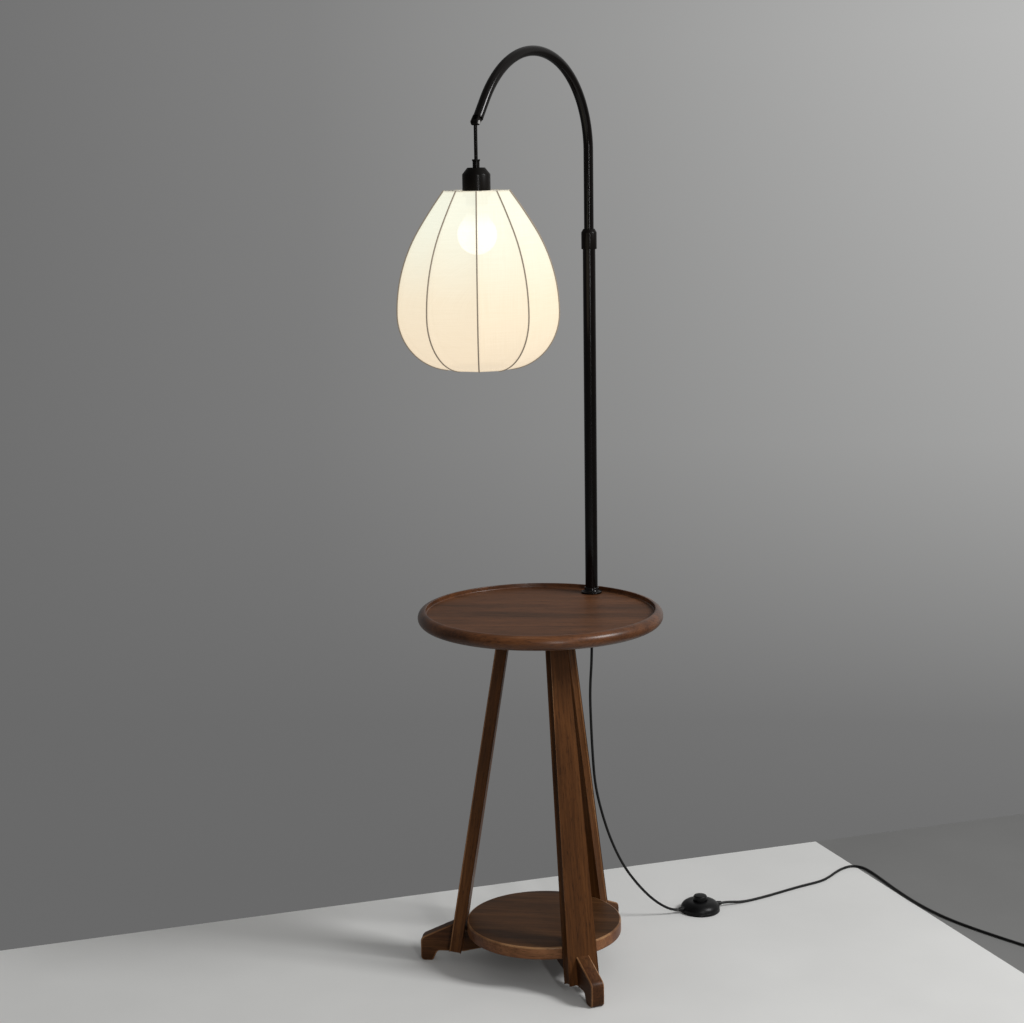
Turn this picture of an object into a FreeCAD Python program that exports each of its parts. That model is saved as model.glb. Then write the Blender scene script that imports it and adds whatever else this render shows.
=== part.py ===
import FreeCAD, Part
import math
import os
import re
import Sketcher

# A floor lamp whose pole stands on a round table on three legs. Millimetres, +Z up. The origin is
# the bottom centre of the lamp's bounding box, without its cord. The pole, the tray's centre and
# the shade lie in the plane X = 0, with the pole at +Y.

V = FreeCAD.Vector
Z_AXIS = V(0, 0, 1)

doc = FreeCAD.newDocument("floor_lamp")
sheet = doc.addObject("Spreadsheet::Sheet", "dim")

# Driving dimensions: alias, value, note.
SIZES = [
    ("tray_y", 46.5, "tray axis ahead of the bounding box centre"),
    ("tray_radius", 200, "tray"),
    ("tray_top", 610, "height of the tray's rim"),
    ("tray_thick", 24, ""),
    ("rim_width", 13, ""),
    ("tray_recess", 7.5, "depth of the tray inside its rim"),
    ("shelf_radius", 129, "lower shelf"),
    ("shelf_top", 76.8, ""),
    ("shelf_thick", 21, ""),
    ("edge_round", 2, "small rounding of wooden edges"),
    ("leg_turn", 85.5, "direction of the back leg, degrees from +X"),
    ("leg_top_reach", 57.1, "tray axis to the leg's middle at the top"),
    ("leg_foot_reach", 148.2, "the same at the lower end"),
    ("leg_end", 21.5, "height of the leg's lower end"),
    ("leg_thick", 20, ""),
    ("leg_top_width", 25, ""),
    ("leg_foot_width", 51, ""),
    ("foot_width", 23, "foot board"),
    ("foot_start", 42, "inner end of the foot board"),
    ("foot_step", 131, "step behind the leg, past the shelf's edge"),
    ("foot_slot", 66, "height of the slot's ceiling in the leg"),
    ("foot_ridge", 153, "where the instep starts to fall"),
    ("foot_nose", 208.5, "reach of the toe"),
    ("foot_arch", 17.5, "height of the arch under the foot"),
    ("bolt_radius", 4, "bolts and inserts at the leg tops"),
    ("insert_radius", 6, ""),
    ("bolt_side", 5.5, "bolt beside the leg's middle"),
    ("dowel_radius", 3, ""),
    ("screw_radius", 2.2, "wood screws"),
    ("screw_head", 4.5, ""),
    ("screw_inset", 7.2, "leg's lower end to its screw, which meets the leg's middle further up"),
    ("pole_back", 167, "tray axis to the pole"),
    ("pole_radius", 10.5, "lower pole tube"),
    ("pole_wall", 1.5, ""),
    ("pole_seat", 606.5, "lower end of the pole tube in its flange"),
    ("pole_top", 1203, "upper end of the pole tube"),
    ("flange_radius", 17.5, ""),
    ("stud_radius", 6, "hollow stud through the tray"),
    ("stud_bore", 3.8, ""),
    ("stud_end", 560, ""),
    ("collar_radius", 12.75, "clamp collar"),
    ("collar_low", 1182, ""),
    ("collar_high", 1215, ""),
    ("arm_radius", 8, "upper tube"),
    ("arm_wall", 1.5, ""),
    ("arm_low", 970, "lower end of the upper tube"),
    ("arch_low", 1340, "height where the arch begins"),
    ("arch_first", 155.5, "radius of the arch's first bend, to the tube's middle"),
    ("arch_turn", 67, "degrees of the first bend"),
    ("arch_second", 177.3, "radius of the second bend"),
    ("arch_end", 35.4, "tilt of the tube's tip from upright, degrees"),
    ("arch_tail", 32, "straight end of the tube past the bends"),
    ("pivot_drop", 11, "tube end to the pivot, along the tube"),
    ("pivot_side", 2.5, "tube's middle line to the pivot, towards the arch's outer side"),
    ("rod_radius", 2.75, "hanging rod"),
    ("rod_bore", 1.6, ""),
    ("rod_low", 1330, ""),
    ("cup_top", 1322, "lampholder cup"),
    ("cup_radius", 21.3, ""),
    ("cup_low", 1288, ""),
    ("cup_wall", 1.5, ""),
    ("skirt_radius", 16.5, "threaded skirt of the lampholder"),
    ("cap_radius", 13.2, "bulb cap"),
    ("bulb_mid", 1222, "height of the bulb's globe"),
    ("bulb_radius", 30, ""),
    ("shade_top", 1288, "shade"),
    ("shade_mid", 1106.8, "height of the widest place"),
    ("shade_low", 1019.6, ""),
    ("shade_radius", 127.9, "at the ribs"),
    ("shade_belly", 232.9, "radius of the rib above the widest place"),
    ("shade_tuck", 87.8, "radius of the rib below it"),
    ("shade_crown", 736.7, "radius of the rib near the top"),
    ("belly_turn", 32.46, "degrees of the rib's middle arc"),
    ("rib_turn", -57.5, "direction of the first rib, degrees from +X"),
    ("cloth_thick", 0.8, ""),
    ("wire_radius", 1.3, "shade wires"),
    ("cord_radius", 2.3, "mains cord"),
    ("switch_x", 120.3, "foot switch on the floor"),
    ("switch_y", 383.9, ""),
    ("switch_turn", 53, "direction of the cord through the switch, degrees from +X"),
    ("switch_radius", 35, ""),
    ("switch_height", 19.5, ""),
    ("switch_axis", 8, "height of the cord in the switch"),
    ("bush_reach", 41, "switch axis to the end of a cord bush"),
    ("button_radius", 12, ""),
    ("button_top", 29.5, ""),
    ("button_stop", 17.5, "underside of the housing over the button's flange"),
    ("spring_low", 6, ""),
    ("spring_high", 20, ""),
    ("coil_radius", 37.5, "spare cord, outer turn"),
    ("coil_step", 6.0, "from turn to turn"),
    ("coil_rise", 5.9, "from layer to layer"),
    ("plug_length", 38, ""),
    ("plug_width", 27, "across the plug's face"),
    ("pin_radius", 2, ""),
    ("pin_gap", 19, "between the middles of the pins"),
    ("running_gap", 0.05, "between pieces that slide or turn in each other"),
]

# Heights and places that follow from the driving dimensions.
DERIVED = {
    "tray_under": "tray_top - tray_thick",
    "tray_floor": "tray_top - tray_recess",
    "shelf_under": "shelf_top - shelf_thick",
    "pole_y": "tray_y + pole_back",
    "pole_inner": "pole_radius - pole_wall",
    "turn_y": "pole_y - arch_first * (1 - cos(arch_turn * 1 deg))",
    "turn_z": "arch_low + arch_first * sin(arch_turn * 1 deg)",
    "bend_y": "turn_y - arch_second * (cos(arch_turn * 1 deg) + cos(arch_end * 1 deg))",
    "bend_z": "turn_z + arch_second * (sin(arch_end * 1 deg) - sin(arch_turn * 1 deg))",
    "tip_y": "bend_y - arch_tail * sin(arch_end * 1 deg)",
    "tip_z": "bend_z - arch_tail * cos(arch_end * 1 deg)",
    "pivot_y": "tip_y - pivot_drop * sin(arch_end * 1 deg) - pivot_side * cos(arch_end * 1 deg)",
    "pivot_z": "tip_z - pivot_drop * cos(arch_end * 1 deg) + pivot_side * sin(arch_end * 1 deg)",
}

for row, (alias, value, note) in enumerate(SIZES, 1):
    sheet.set("A%d" % row, note)
    sheet.set("B%d" % row, str(value))
    sheet.setAlias("B%d" % row, alias)
doc.recompute()
ALIASES = {alias for alias, value, note in SIZES}


def bound(text):
    """The expression for a text of size names: derived names are written out, aliases get their sheet."""
    def word(match):
        name = match.group(0)
        if name in DERIVED:
            return "(" + bound(DERIVED[name]) + ")"
        return "dim." + name if name in ALIASES else name
    return re.sub(r"[a-z][a-z_]*", word, str(text))


def size(text):
    return float(sheet.evalExpression(bound(text)))


def sine(degrees):
    return math.sin(math.radians(degrees))


def cosine(degrees):
    return math.cos(math.radians(degrees))


# ---- drawing helpers -------------------------------------------------------------------------

def newBody(name, x="0", y="0", z="0", turn=None):
    body = doc.addObject("PartDesign::Body", name)
    body.Label = name
    body.AllowCompound = True
    body.Placement = FreeCAD.Placement(V(0, 0, 0), FreeCAD.Rotation(Z_AXIS, 0))
    for axis, text in (("x", x), ("y", y), ("z", z)):
        if text != "0":
            body.setExpression("Placement.Base." + axis, bound(text))
    if turn is not None:
        body.setExpression("Placement.Rotation.Angle", bound(turn))
    return body


def newSketch(body, plane, lift):
    sketch = body.newObject("Sketcher::SketchObject", body.Name + "_sketch")
    origin = [item for item in body.Origin.OriginFeatures if item.Role == plane][0]
    sketch.AttachmentSupport = (origin, [""])
    sketch.MapMode = "FlatFace"
    if lift != "0":
        sketch.setExpression("AttachmentOffset.Base.z", bound(lift))
    return sketch


def tie(sketch, kind, geometry, text, point=None):
    """One dimension of a sketch, bound to the sheet. A point is measured from the origin."""
    value = size(text)
    if point is None:
        constraint = Sketcher.Constraint(kind, geometry, value)
    else:
        constraint = Sketcher.Constraint(kind, -1, 1, geometry, point, value)
    index = sketch.addConstraint(constraint)
    sketch.setExpression("Constraints[%d]" % index, bound(text))


def outline(body, plane, corners, lift="0"):
    """A closed outline. A corner is (x, y), or (x, y, radius, side) where an arc leads to it,
    which bulges to the left of the way there for side 1 and to the right for side -1."""
    sketch = newSketch(body, plane, lift)
    points = [V(size(corner[0]), size(corner[1]), 0) for corner in corners]
    runs = []
    for index, start in enumerate(points):
        following = (index + 1) % len(points)
        end = points[following]
        if len(corners[following]) == 2:
            runs.append((sketch.addGeometry(Part.LineSegment(start, end), False), 1, 2))
            continue
        radius = size(corners[following][2])
        side = corners[following][3]
        way = end - start
        left = V(-way.y, way.x, 0).normalize() * side
        height = math.sqrt(radius ** 2 - (way.Length / 2) ** 2)
        centre = (start + end) * 0.5 - left * height
        first, last = (end, start) if side > 0 else (start, end)
        angles = [math.atan2(p.y - centre.y, p.x - centre.x) for p in (first, last)]
        arc = Part.ArcOfCircle(Part.Circle(centre, Z_AXIS, radius), *angles)
        geometry = sketch.addGeometry(arc, False)
        runs.append((geometry, 2, 1) if side > 0 else (geometry, 1, 2))
        tie(sketch, "Radius", geometry, corners[following][2])
    for index, (geometry, begin, finish) in enumerate(runs):
        after = runs[(index + 1) % len(runs)]
        sketch.addConstraint(Sketcher.Constraint("Coincident", geometry, finish, after[0], after[1]))
        tie(sketch, "DistanceX", geometry, corners[index][0], begin)
        tie(sketch, "DistanceY", geometry, corners[index][1], begin)
    return sketch


def circles(body, plane, places, lift="0"):
    """Circles, each (x, y, radius)."""
    sketch = newSketch(body, plane, lift)
    for x, y, radius in places:
        circle = Part.Circle(V(size(x), size(y), 0), Z_AXIS, size(radius))
        geometry = sketch.addGeometry(circle, False)
        tie(sketch, "Radius", geometry, radius)
        tie(sketch, "DistanceX", geometry, x, 3)
        tie(sketch, "DistanceY", geometry, y, 3)
    return sketch


def turned(body, corners):
    """A body of revolution about its own Z. Corners are (radius, height)."""
    feature = body.newObject("PartDesign::Revolution", body.Name + "_turned")
    feature.Profile = outline(body, "XZ_Plane", corners)
    feature.ReferenceAxis = (feature.Profile[0], ["V_Axis"])
    feature.Angle = 360
    return feature


def padded(body, sketch, length, both=False, back=False):
    feature = body.newObject("PartDesign::Pad", body.Name + "_pad")
    feature.Profile = sketch
    feature.setExpression("Length", bound(length))
    feature.SideType = "Symmetric" if both else "One side"
    feature.Reversed = back
    return feature


def pocketed(body, sketch, length, both=False, back=False):
    doc.recompute()
    volume = body.Shape.Volume
    feature = body.newObject("PartDesign::Pocket", body.Name + "_pocket")
    feature.Profile = sketch
    feature.setExpression("Length", bound(length))
    feature.SideType = "Symmetric" if both else "One side"
    feature.Reversed = back
    doc.recompute()
    if not body.Shape.Volume < volume - 0.1:
        raise RuntimeError(body.Name + ": a pocket cut nothing")
    return feature


def rounded(body, radius, wanted):
    """Rounds the edges for which wanted(edge) is true."""
    doc.recompute()
    names = ["Edge%d" % number for number, edge in enumerate(body.Shape.Edges, 1) if wanted(edge)]
    base = body.Tip
    feature = body.newObject("PartDesign::Fillet", body.Name + "_rounded")
    feature.Base = (base, names)
    feature.setExpression("Radius", bound(radius))
    return feature


def ringOf(body, features, count):
    """Repeats features round the body's own Z."""
    pattern = body.newObject("PartDesign::PolarPattern", body.Name + "_ring")
    pattern.Originals = features
    axis = [item for item in body.Origin.OriginFeatures if item.Role == "Z_Axis"][0]
    pattern.Axis = (axis, [""])
    pattern.Angle = 360
    pattern.Occurrences = count
    body.Tip = pattern
    return pattern


def shaped(name, shape):
    feature = doc.addObject("Part::Feature", name)
    feature.Label = name
    feature.Shape = shape
    return feature


# ---- curves of round wire and cord -------------------------------------------------------------

def arcBetween(start, corner, end):
    """The arc that leaves start towards corner and arrives at end from it, both equally far."""
    middle = (start + end) * 0.5
    half = (start - corner).getAngle(end - corner) / 2
    part = math.sin(half)
    return Part.Arc(start, middle + (corner - middle) * (part / (1 + part)), end).toShape()


def routeWire(name, points):
    """Straight runs joined by tangent arcs, each as large as its two runs allow."""
    edges = []
    radii = []
    last = points[0]
    for before, corner, after in zip(points, points[1:], points[2:]):
        incoming = before - corner
        outgoing = after - corner
        turn = math.pi - incoming.getAngle(outgoing)
        reach = 0.45 * min(incoming.Length, outgoing.Length)
        radii.append(reach / math.tan(turn / 2))
        start = corner + V(incoming).normalize() * reach
        end = corner + V(outgoing).normalize() * reach
        edges.append(Part.LineSegment(last, start).toShape())
        edges.append(arcBetween(start, corner, end))
        last = end
    edges.append(Part.LineSegment(last, points[-1]).toShape())
    print(name, "radii", " ".join("%.0f" % radius for radius in radii))
    return Part.Wire(edges)


def tubeAlong(wire, radius):
    start = wire.Edges[0].firstVertex(True).Point
    way = wire.Edges[0].tangentAt(wire.Edges[0].FirstParameter)
    section = Part.Wire([Part.Circle(start, way, radius).toShape()])
    return wire.makePipeShell([section], True, False)


def cordAlong(name, wire, radius):
    """A cord's tube along a wire, with its volume against its section times its length."""
    tube = tubeAlong(wire, radius)
    wanted = math.pi * radius ** 2 * wire.Length
    print(name, "length %.0f" % wire.Length, "volume ratio %.4f" % (tube.Volume / wanted))
    return tube


def biarc(start, leave, end, arrive):
    """Two arcs from start to end that leave and arrive along the given directions."""
    way = end - start
    both = leave + arrive
    spread = 2 * (1 - leave.dot(arrive))
    along = way.dot(both)
    reach = (math.sqrt(along ** 2 + spread * way.dot(way)) - along) / spread
    first = start + leave * reach
    second = end - arrive * reach
    joint = (first + second) * 0.5
    return [arcBetween(start, first, joint), arcBetween(joint, second, end)]


# ---- table: tray, legs, feet, shelf --------------------------------------------------------------

LEGS = ["back", "left", "right"]


def makeTray():
    body = newBody("tray_top", y="tray_y")
    half = "tray_thick / 2"
    turned(body, [
        ("0", "tray_under"),
        ("tray_radius - " + half, "tray_under"),
        ("tray_radius", "tray_top - " + half, half, -1),
        ("tray_radius - " + half, "tray_top", half, -1),
        ("tray_radius - rim_width", "tray_top - 1", "1", 1),
        ("tray_radius - rim_width", "tray_floor + edge_round"),
        ("tray_radius - rim_width - edge_round", "tray_floor", "edge_round", -1),
        ("0", "tray_floor"),
    ])
    pocketed(body, circles(body, "XY_Plane", [("0", "pole_back", "stud_radius")], "tray_top"), "tray_thick + 1")
    holes = newSketchAtLegs(body, "insert_radius", "dowel_radius")
    pocketed(body, holes, "12", back=True)


def newSketchAtLegs(body, boltRadius, dowelRadius):
    """Circles under the tray over every leg: one for its bolt and one for its dowel."""
    places = []
    for index in range(3):
        turn = "(leg_turn + %d) * 1 deg" % (120 * index)
        for side, radius in (("bolt_side", boltRadius), ("(0 - bolt_side - 2)", dowelRadius)):
            x = "leg_top_reach * cos(%s) - %s * sin(%s)" % (turn, side, turn)
            y = "leg_top_reach * sin(%s) + %s * cos(%s)" % (turn, side, turn)
            places.append((x, y, radius))
    return circles(body, "XY_Plane", places, "tray_under")


def makeLeg(index):
    """In its own frame X points outward from the tray's axis and Y across the leg's width."""
    body = newBody("leg_" + LEGS[index], y="tray_y", turn="leg_turn + %d" % (120 * index))
    slope = "(leg_foot_reach - leg_top_reach) / (tray_under - leg_end)"
    lean = "atan(" + slope + ")"
    half = "leg_thick / 2"
    profile = outline(body, "XZ_Plane", [
        ("leg_top_reach - %s / cos(%s)" % (half, lean), "tray_under"),
        ("leg_top_reach + %s / cos(%s)" % (half, lean), "tray_under"),
        ("leg_foot_reach + %s * cos(%s)" % (half, lean), "leg_end + %s * sin(%s)" % (half, lean)),
        ("leg_foot_reach - %s * cos(%s)" % (half, lean), "leg_end - %s * sin(%s)" % (half, lean)),
    ])
    padded(body, profile, "leg_foot_width", both=True)
    for side in ("", "0 - "):
        wedge = outline(body, "YZ_Plane", [
            (side + "leg_top_width / 2", "tray_under + 1"),
            (side + "leg_foot_width", "tray_under + 1"),
            (side + "leg_foot_width", "0"),
            (side + "leg_foot_width / 2", "0"),
        ])
        pocketed(body, wedge, "2 * tray_radius", both=True)
    rounded(body, "edge_round", lambda edge: edge.Length > 300)
    slot = outline(body, "YZ_Plane", [
        ("0 - foot_width / 2", "0"),
        ("foot_width / 2", "0"),
        ("foot_width / 2", "foot_slot"),
        ("0 - foot_width / 2", "foot_slot"),
    ])
    pocketed(body, slot, "2 * tray_radius", both=True)
    bolt = [("leg_top_reach", "bolt_side", "bolt_radius")]
    pocketed(body, circles(body, "XY_Plane", bolt, "tray_under"), "24")
    dowel = [("leg_top_reach", "0 - bolt_side - 2", "dowel_radius")]
    pocketed(body, circles(body, "XY_Plane", dowel, "tray_under"), "14")
    screw = [("leg_foot_reach - screw_inset", "0", "screw_radius")]
    pocketed(body, circles(body, "XY_Plane", screw, "foot_slot"), "30", back=True)


def makeFoot(index):
    """A board in the leg's plane: an inner arm under the shelf, an instep and a toe."""
    body = newBody("foot_" + LEGS[index], y="tray_y", turn="leg_turn + %d" % (120 * index))
    board = outline(body, "XZ_Plane", [
        ("foot_start", "shelf_under"),
        ("foot_start", "shelf_under - 16"),
        ("foot_step - 22", "23.5"),
        ("foot_step + 4", "foot_arch"),
        ("foot_nose - 32.8", "foot_arch"),
        ("foot_nose - 26.909", "foot_arch - 3.753", "6.5", 1),
        ("foot_nose - 21.98", "3.176"),
        ("foot_nose - 16.995", "0", "5.5", -1),
        ("foot_nose - 7", "0"),
        ("foot_nose", "7", "7", -1),
        ("foot_nose", "32.5"),
        ("foot_nose - 8", "44", "12", -1),
        ("foot_ridge", "foot_slot"),
        ("foot_step", "foot_slot"),
        ("foot_step", "shelf_under"),
    ])
    padded(body, board, "foot_width", both=True)
    head = [("leg_foot_reach - screw_inset", "0", "screw_head")]
    pocketed(body, circles(body, "XY_Plane", head, "foot_arch"), "12", back=True)
    shank = [("leg_foot_reach - screw_inset", "0", "screw_radius")]
    pocketed(body, circles(body, "XY_Plane", shank, "foot_arch"), "foot_slot", back=True)
    for reach in ("foot_start + 20", "foot_step - 22"):
        low = "shelf_under - 20"
        pocketed(body, circles(body, "XY_Plane", [(reach, "0", "screw_head")], low), "shelf_under")
        pocketed(body, circles(body, "XY_Plane", [(reach, "0", "screw_radius")], low), "shelf_under", back=True)

    def sideEdge(edge):
        box = edge.BoundBox
        return box.YLength < 0.01 and abs(box.YMin) > 9

    rounded(body, "edge_round", sideEdge)


def makeShelf():
    body = newBody("shelf", y="tray_y", turn="leg_turn")
    turned(body, [
        ("0", "shelf_under"),
        ("shelf_radius - edge_round", "shelf_under"),
        ("shelf_radius", "shelf_under + edge_round", "edge_round", -1),
        ("shelf_radius", "shelf_top - edge_round"),
        ("shelf_radius - edge_round", "shelf_top", "edge_round", -1),
        ("0", "shelf_top"),
    ])
    holes = [(reach, "0", "screw_radius") for reach in ("foot_start + 20", "foot_step - 22")]
    hole = pocketed(body, circles(body, "XY_Plane", holes, "shelf_under"), "14", back=True)
    ringOf(body, [hole], 3)


def ringOfPegs(name, reach, side, parts):
    """One peg over each leg, made of coaxial discs, each (radius, low, high)."""
    body = newBody(name, y="tray_y", turn="leg_turn")
    features = []
    for radius, low, high in parts:
        disc = circles(body, "XY_Plane", [(place, side, radius) for place in reach], low)
        features.append(padded(body, disc, "(%s) - (%s)" % (high, low)))
    doc.recompute()
    ringOf(body, features, 3)
    return body


def makeTableFasteners():
    ringOfPegs("leg_bolts", ["leg_top_reach"], "bolt_side", [
        ("bolt_radius", "tray_under - 24", "tray_under + 12"),
    ])
    inserts = newBody("leg_inserts", y="tray_y", turn="leg_turn")
    ring = circles(inserts, "XY_Plane", [
        ("leg_top_reach", "bolt_side", "insert_radius"),
        ("leg_top_reach", "bolt_side", "bolt_radius"),
    ], "tray_under")
    ringOf(inserts, [padded(inserts, ring, "12")], 3)
    ringOfPegs("leg_dowels", ["leg_top_reach"], "0 - bolt_side - 2", [
        ("dowel_radius", "tray_under - 14", "tray_under + 12"),
    ])
    ringOfPegs("foot_screws", ["leg_foot_reach - screw_inset"], "0", [
        ("screw_head", "foot_arch + 9", "foot_arch + 12"),
        ("screw_radius", "foot_arch + 12", "foot_slot + 30"),
    ])
    ringOfPegs("shelf_screws", ["foot_start + 20", "foot_step - 22"], "0", [
        ("screw_head", "shelf_under - 23", "shelf_under - 20"),
        ("screw_radius", "shelf_under - 20", "shelf_under + 14"),
    ])


# ---- pole, collar and what holds them ------------------------------------------------------------

def makePole():
    flange = newBody("pole_flange", y="pole_y")
    turned(flange, [
        ("stud_radius", "tray_floor"),
        ("flange_radius", "tray_floor"),
        ("flange_radius", "tray_floor + 2.2"),
        ("flange_radius - 1", "tray_floor + 3.2", "1", -1),
        ("pole_radius + 1.5", "tray_floor + 6.5", "6", 1),
        ("pole_radius + 1.5", "tray_floor + 9.5"),
        ("pole_radius", "tray_floor + 10.5"),
        ("pole_radius", "pole_seat"),
        ("stud_radius", "pole_seat"),
    ])
    pole = newBody("pole_lower", y="pole_y")
    turned(pole, [
        ("pole_inner", "pole_seat"),
        ("pole_radius", "pole_seat"),
        ("pole_radius", "pole_top"),
        ("pole_inner", "pole_top"),
    ])
    plug = newBody("pole_plug", y="pole_y")
    turned(plug, [
        ("stud_radius", "pole_seat"),
        ("pole_inner", "pole_seat"),
        ("pole_inner", "pole_seat + 30"),
        ("stud_radius", "pole_seat + 30"),
    ])
    stud = newBody("pole_stud", y="pole_y")
    turned(stud, [
        ("stud_bore", "stud_end"),
        ("stud_radius", "stud_end"),
        ("stud_radius", "pole_seat + 30"),
        ("stud_bore", "pole_seat + 30"),
    ])
    washer = newBody("pole_washer", y="pole_y")
    turned(washer, [
        ("stud_radius", "tray_under - 2"),
        ("15", "tray_under - 2"),
        ("15", "tray_under"),
        ("stud_radius", "tray_under"),
    ])
    nut = newBody("pole_nut", y="pole_y")
    hexagon = outline(nut, "XY_Plane", [
        ("11 * cos(%d deg)" % turn, "11 * sin(%d deg)" % turn) for turn in range(0, 360, 60)
    ], "tray_under - 10")
    padded(nut, hexagon, "8")
    bore = circles(nut, "XY_Plane", [("0", "0", "stud_radius")], "tray_under - 2")
    pocketed(nut, bore, "8")
    bush = newBody("cord_bush", y="pole_y")
    turned(bush, [
        ("cord_radius", "stud_end - 8"),
        ("6", "stud_end - 8"),
        ("8", "stud_end - 6", "2", -1),
        ("8", "stud_end + 8"),
        ("stud_radius", "stud_end + 8"),
        ("stud_radius", "stud_end"),
        ("cord_radius", "stud_end"),
    ])


def makeCollar():
    collar = newBody("collar", y="pole_y")
    turned(collar, [
        ("pole_radius + running_gap", "collar_low"),
        ("collar_radius - 0.5", "collar_low"),
        ("collar_radius", "collar_low + 0.5"),
        ("collar_radius", "collar_high - 5.5"),
        ("arm_radius + 1.4", "collar_high"),
        ("arm_radius + 0.3", "collar_high"),
        ("arm_radius + 0.3", "collar_high - 1.5"),
        ("pole_radius + running_gap", "pole_top + 7"),
    ])
    ferrule = newBody("collar_ferrule", y="pole_y")
    turned(ferrule, [
        ("arm_radius + running_gap", "pole_top"),
        ("pole_radius - 0.3", "pole_top"),
        ("pole_radius - 0.3", "pole_top + 5"),
        ("arm_radius + 1", "pole_top + 7.5"),
        ("arm_radius + running_gap", "pole_top + 7.5"),
    ])
    guide = newBody("guide_bush", y="pole_y")
    turned(guide, [
        ("4", "arm_low - 8"),
        ("pole_inner - running_gap", "arm_low - 8"),
        ("pole_inner - running_gap", "arm_low + 20"),
        ("arm_radius + running_gap", "arm_low + 20"),
        ("arm_radius + running_gap", "arm_low"),
        ("4", "arm_low"),
    ])


# ---- arm: the bent upper tube and its fork -------------------------------------------------------

def archBends():
    """The arch's two bends in the plane of y and z, each (centre, radius, first angle, last angle)."""
    turn = size("arch_turn")
    first = V(size("pole_y - arch_first"), size("arch_low"), 0)
    second = first + V(cosine(turn), sine(turn), 0) * size("arch_first - arch_second")
    return [(first, size("arch_first"), 0, turn),
            (second, size("arch_second"), turn, 180 - size("arch_end"))]


def armPath(body):
    """The tube's middle line, drawn from the pole's axis: upright, two bends over towards -Y, and
    a straight end."""
    sketch = newSketch(body, "YZ_Plane", "0")
    shift = V(size("pole_y"), 0, 0)
    stops = [("0", "arm_low"), ("0", "arch_low"), ("turn_y - pole_y", "turn_z"),
             ("bend_y - pole_y", "bend_z"), ("tip_y - pole_y", "tip_z")]
    points = [V(size(y), size(z), 0) for y, z in stops]
    runs = [sketch.addGeometry(Part.LineSegment(points[0], points[1]), False)]
    for centre, radius, first, last in archBends():
        circle = Part.Circle(centre - shift, Z_AXIS, radius)
        bend = Part.ArcOfCircle(circle, math.radians(first), math.radians(last))
        runs.append(sketch.addGeometry(bend, False))
    runs.append(sketch.addGeometry(Part.LineSegment(points[3], points[4]), False))
    for run, following in zip(runs, runs[1:]):
        sketch.addConstraint(Sketcher.Constraint("Coincident", run, 2, following, 1))
    for run, (y, z) in zip(runs + runs[-1:], stops):
        point = 2 if run == runs[-1] and y == stops[-1][0] else 1
        tie(sketch, "DistanceX", run, y, point)
        tie(sketch, "DistanceY", run, z, point)
    for run, radius in zip(runs[1:3], ("arch_first", "arch_second")):
        tie(sketch, "Radius", run, radius)
    return sketch


def makeArmTube():
    body = newBody("arm_tube", y="pole_y")
    ring = circles(body, "XY_Plane", [
        ("0", "0", "arm_radius"),
        ("0", "0", "arm_radius - arm_wall"),
    ], "arm_low")
    pipe = body.newObject("PartDesign::AdditivePipe", "arm_tube_pipe")
    pipe.Profile = ring
    pipe.Spine = (armPath(body), [])


FORK_PLUG = 10


def makeFork():
    """Its own Z runs out of the tube's tip; two cheeks hold the eye of the hanging rod."""
    body = newBody("arm_fork", y="tip_y", z="tip_z")
    body.Placement.Rotation = FreeCAD.Rotation(V(1, 0, 0), 180)
    body.setExpression("Placement.Rotation.Angle", bound("180 - arch_end"))
    turned(body, [
        ("2.4", "0 - %d" % FORK_PLUG),
        ("arm_radius - arm_wall - 0.3", "0 - %d" % FORK_PLUG),
        ("arm_radius - arm_wall - 0.3", "0"),
        ("arm_radius", "0"),
        ("arm_radius", "1.5"),
        ("2.4", "1.5"),
    ])
    cheeks = outline(body, "YZ_Plane", [
        ("-5.2", "0.5"),
        ("pivot_side - 4.8", "pivot_drop"),
        ("pivot_side", "pivot_drop + 4.8", "4.8", 1),
        ("pivot_side + 4.8", "pivot_drop", "4.8", 1),
        ("6.8", "0.5"),
    ])
    padded(body, cheeks, "11", both=True)
    slot = outline(body, "XZ_Plane", [
        ("-3.1", "1.5"),
        ("3.1", "1.5"),
        ("3.1", "pivot_drop + 8"),
        ("-3.1", "pivot_drop + 8"),
    ])
    pocketed(body, slot, "20", both=True)
    pocketed(body, circles(body, "YZ_Plane", [("pivot_side", "pivot_drop", "2")]), "20", both=True)
    pocketed(body, circles(body, "XY_Plane", [("0", "0", "2.4")], "1.5"), "10")


def makePivot():
    """The screw lies along X: its head is on the +X side and its nut on the other."""
    screw = newBody("pivot_screw", y="pivot_y", z="pivot_z")
    padded(screw, circles(screw, "YZ_Plane", [("0", "0", "3")], "5.5"), "1.5")
    padded(screw, circles(screw, "YZ_Plane", [("0", "0", "2")], "-7.5"), "13")
    nut = newBody("pivot_nut", y="pivot_y", z="pivot_z")
    hexagon = outline(nut, "YZ_Plane", [
        ("3.4 * cos(%d deg)" % turn, "3.4 * sin(%d deg)" % turn) for turn in range(0, 360, 60)
    ], "-7.5")
    padded(nut, hexagon, "2")
    pocketed(nut, circles(nut, "YZ_Plane", [("0", "0", "2")], "-5.5"), "3")


# ---- head: rod, lampholder, shade, bulb ----------------------------------------------------------

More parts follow.
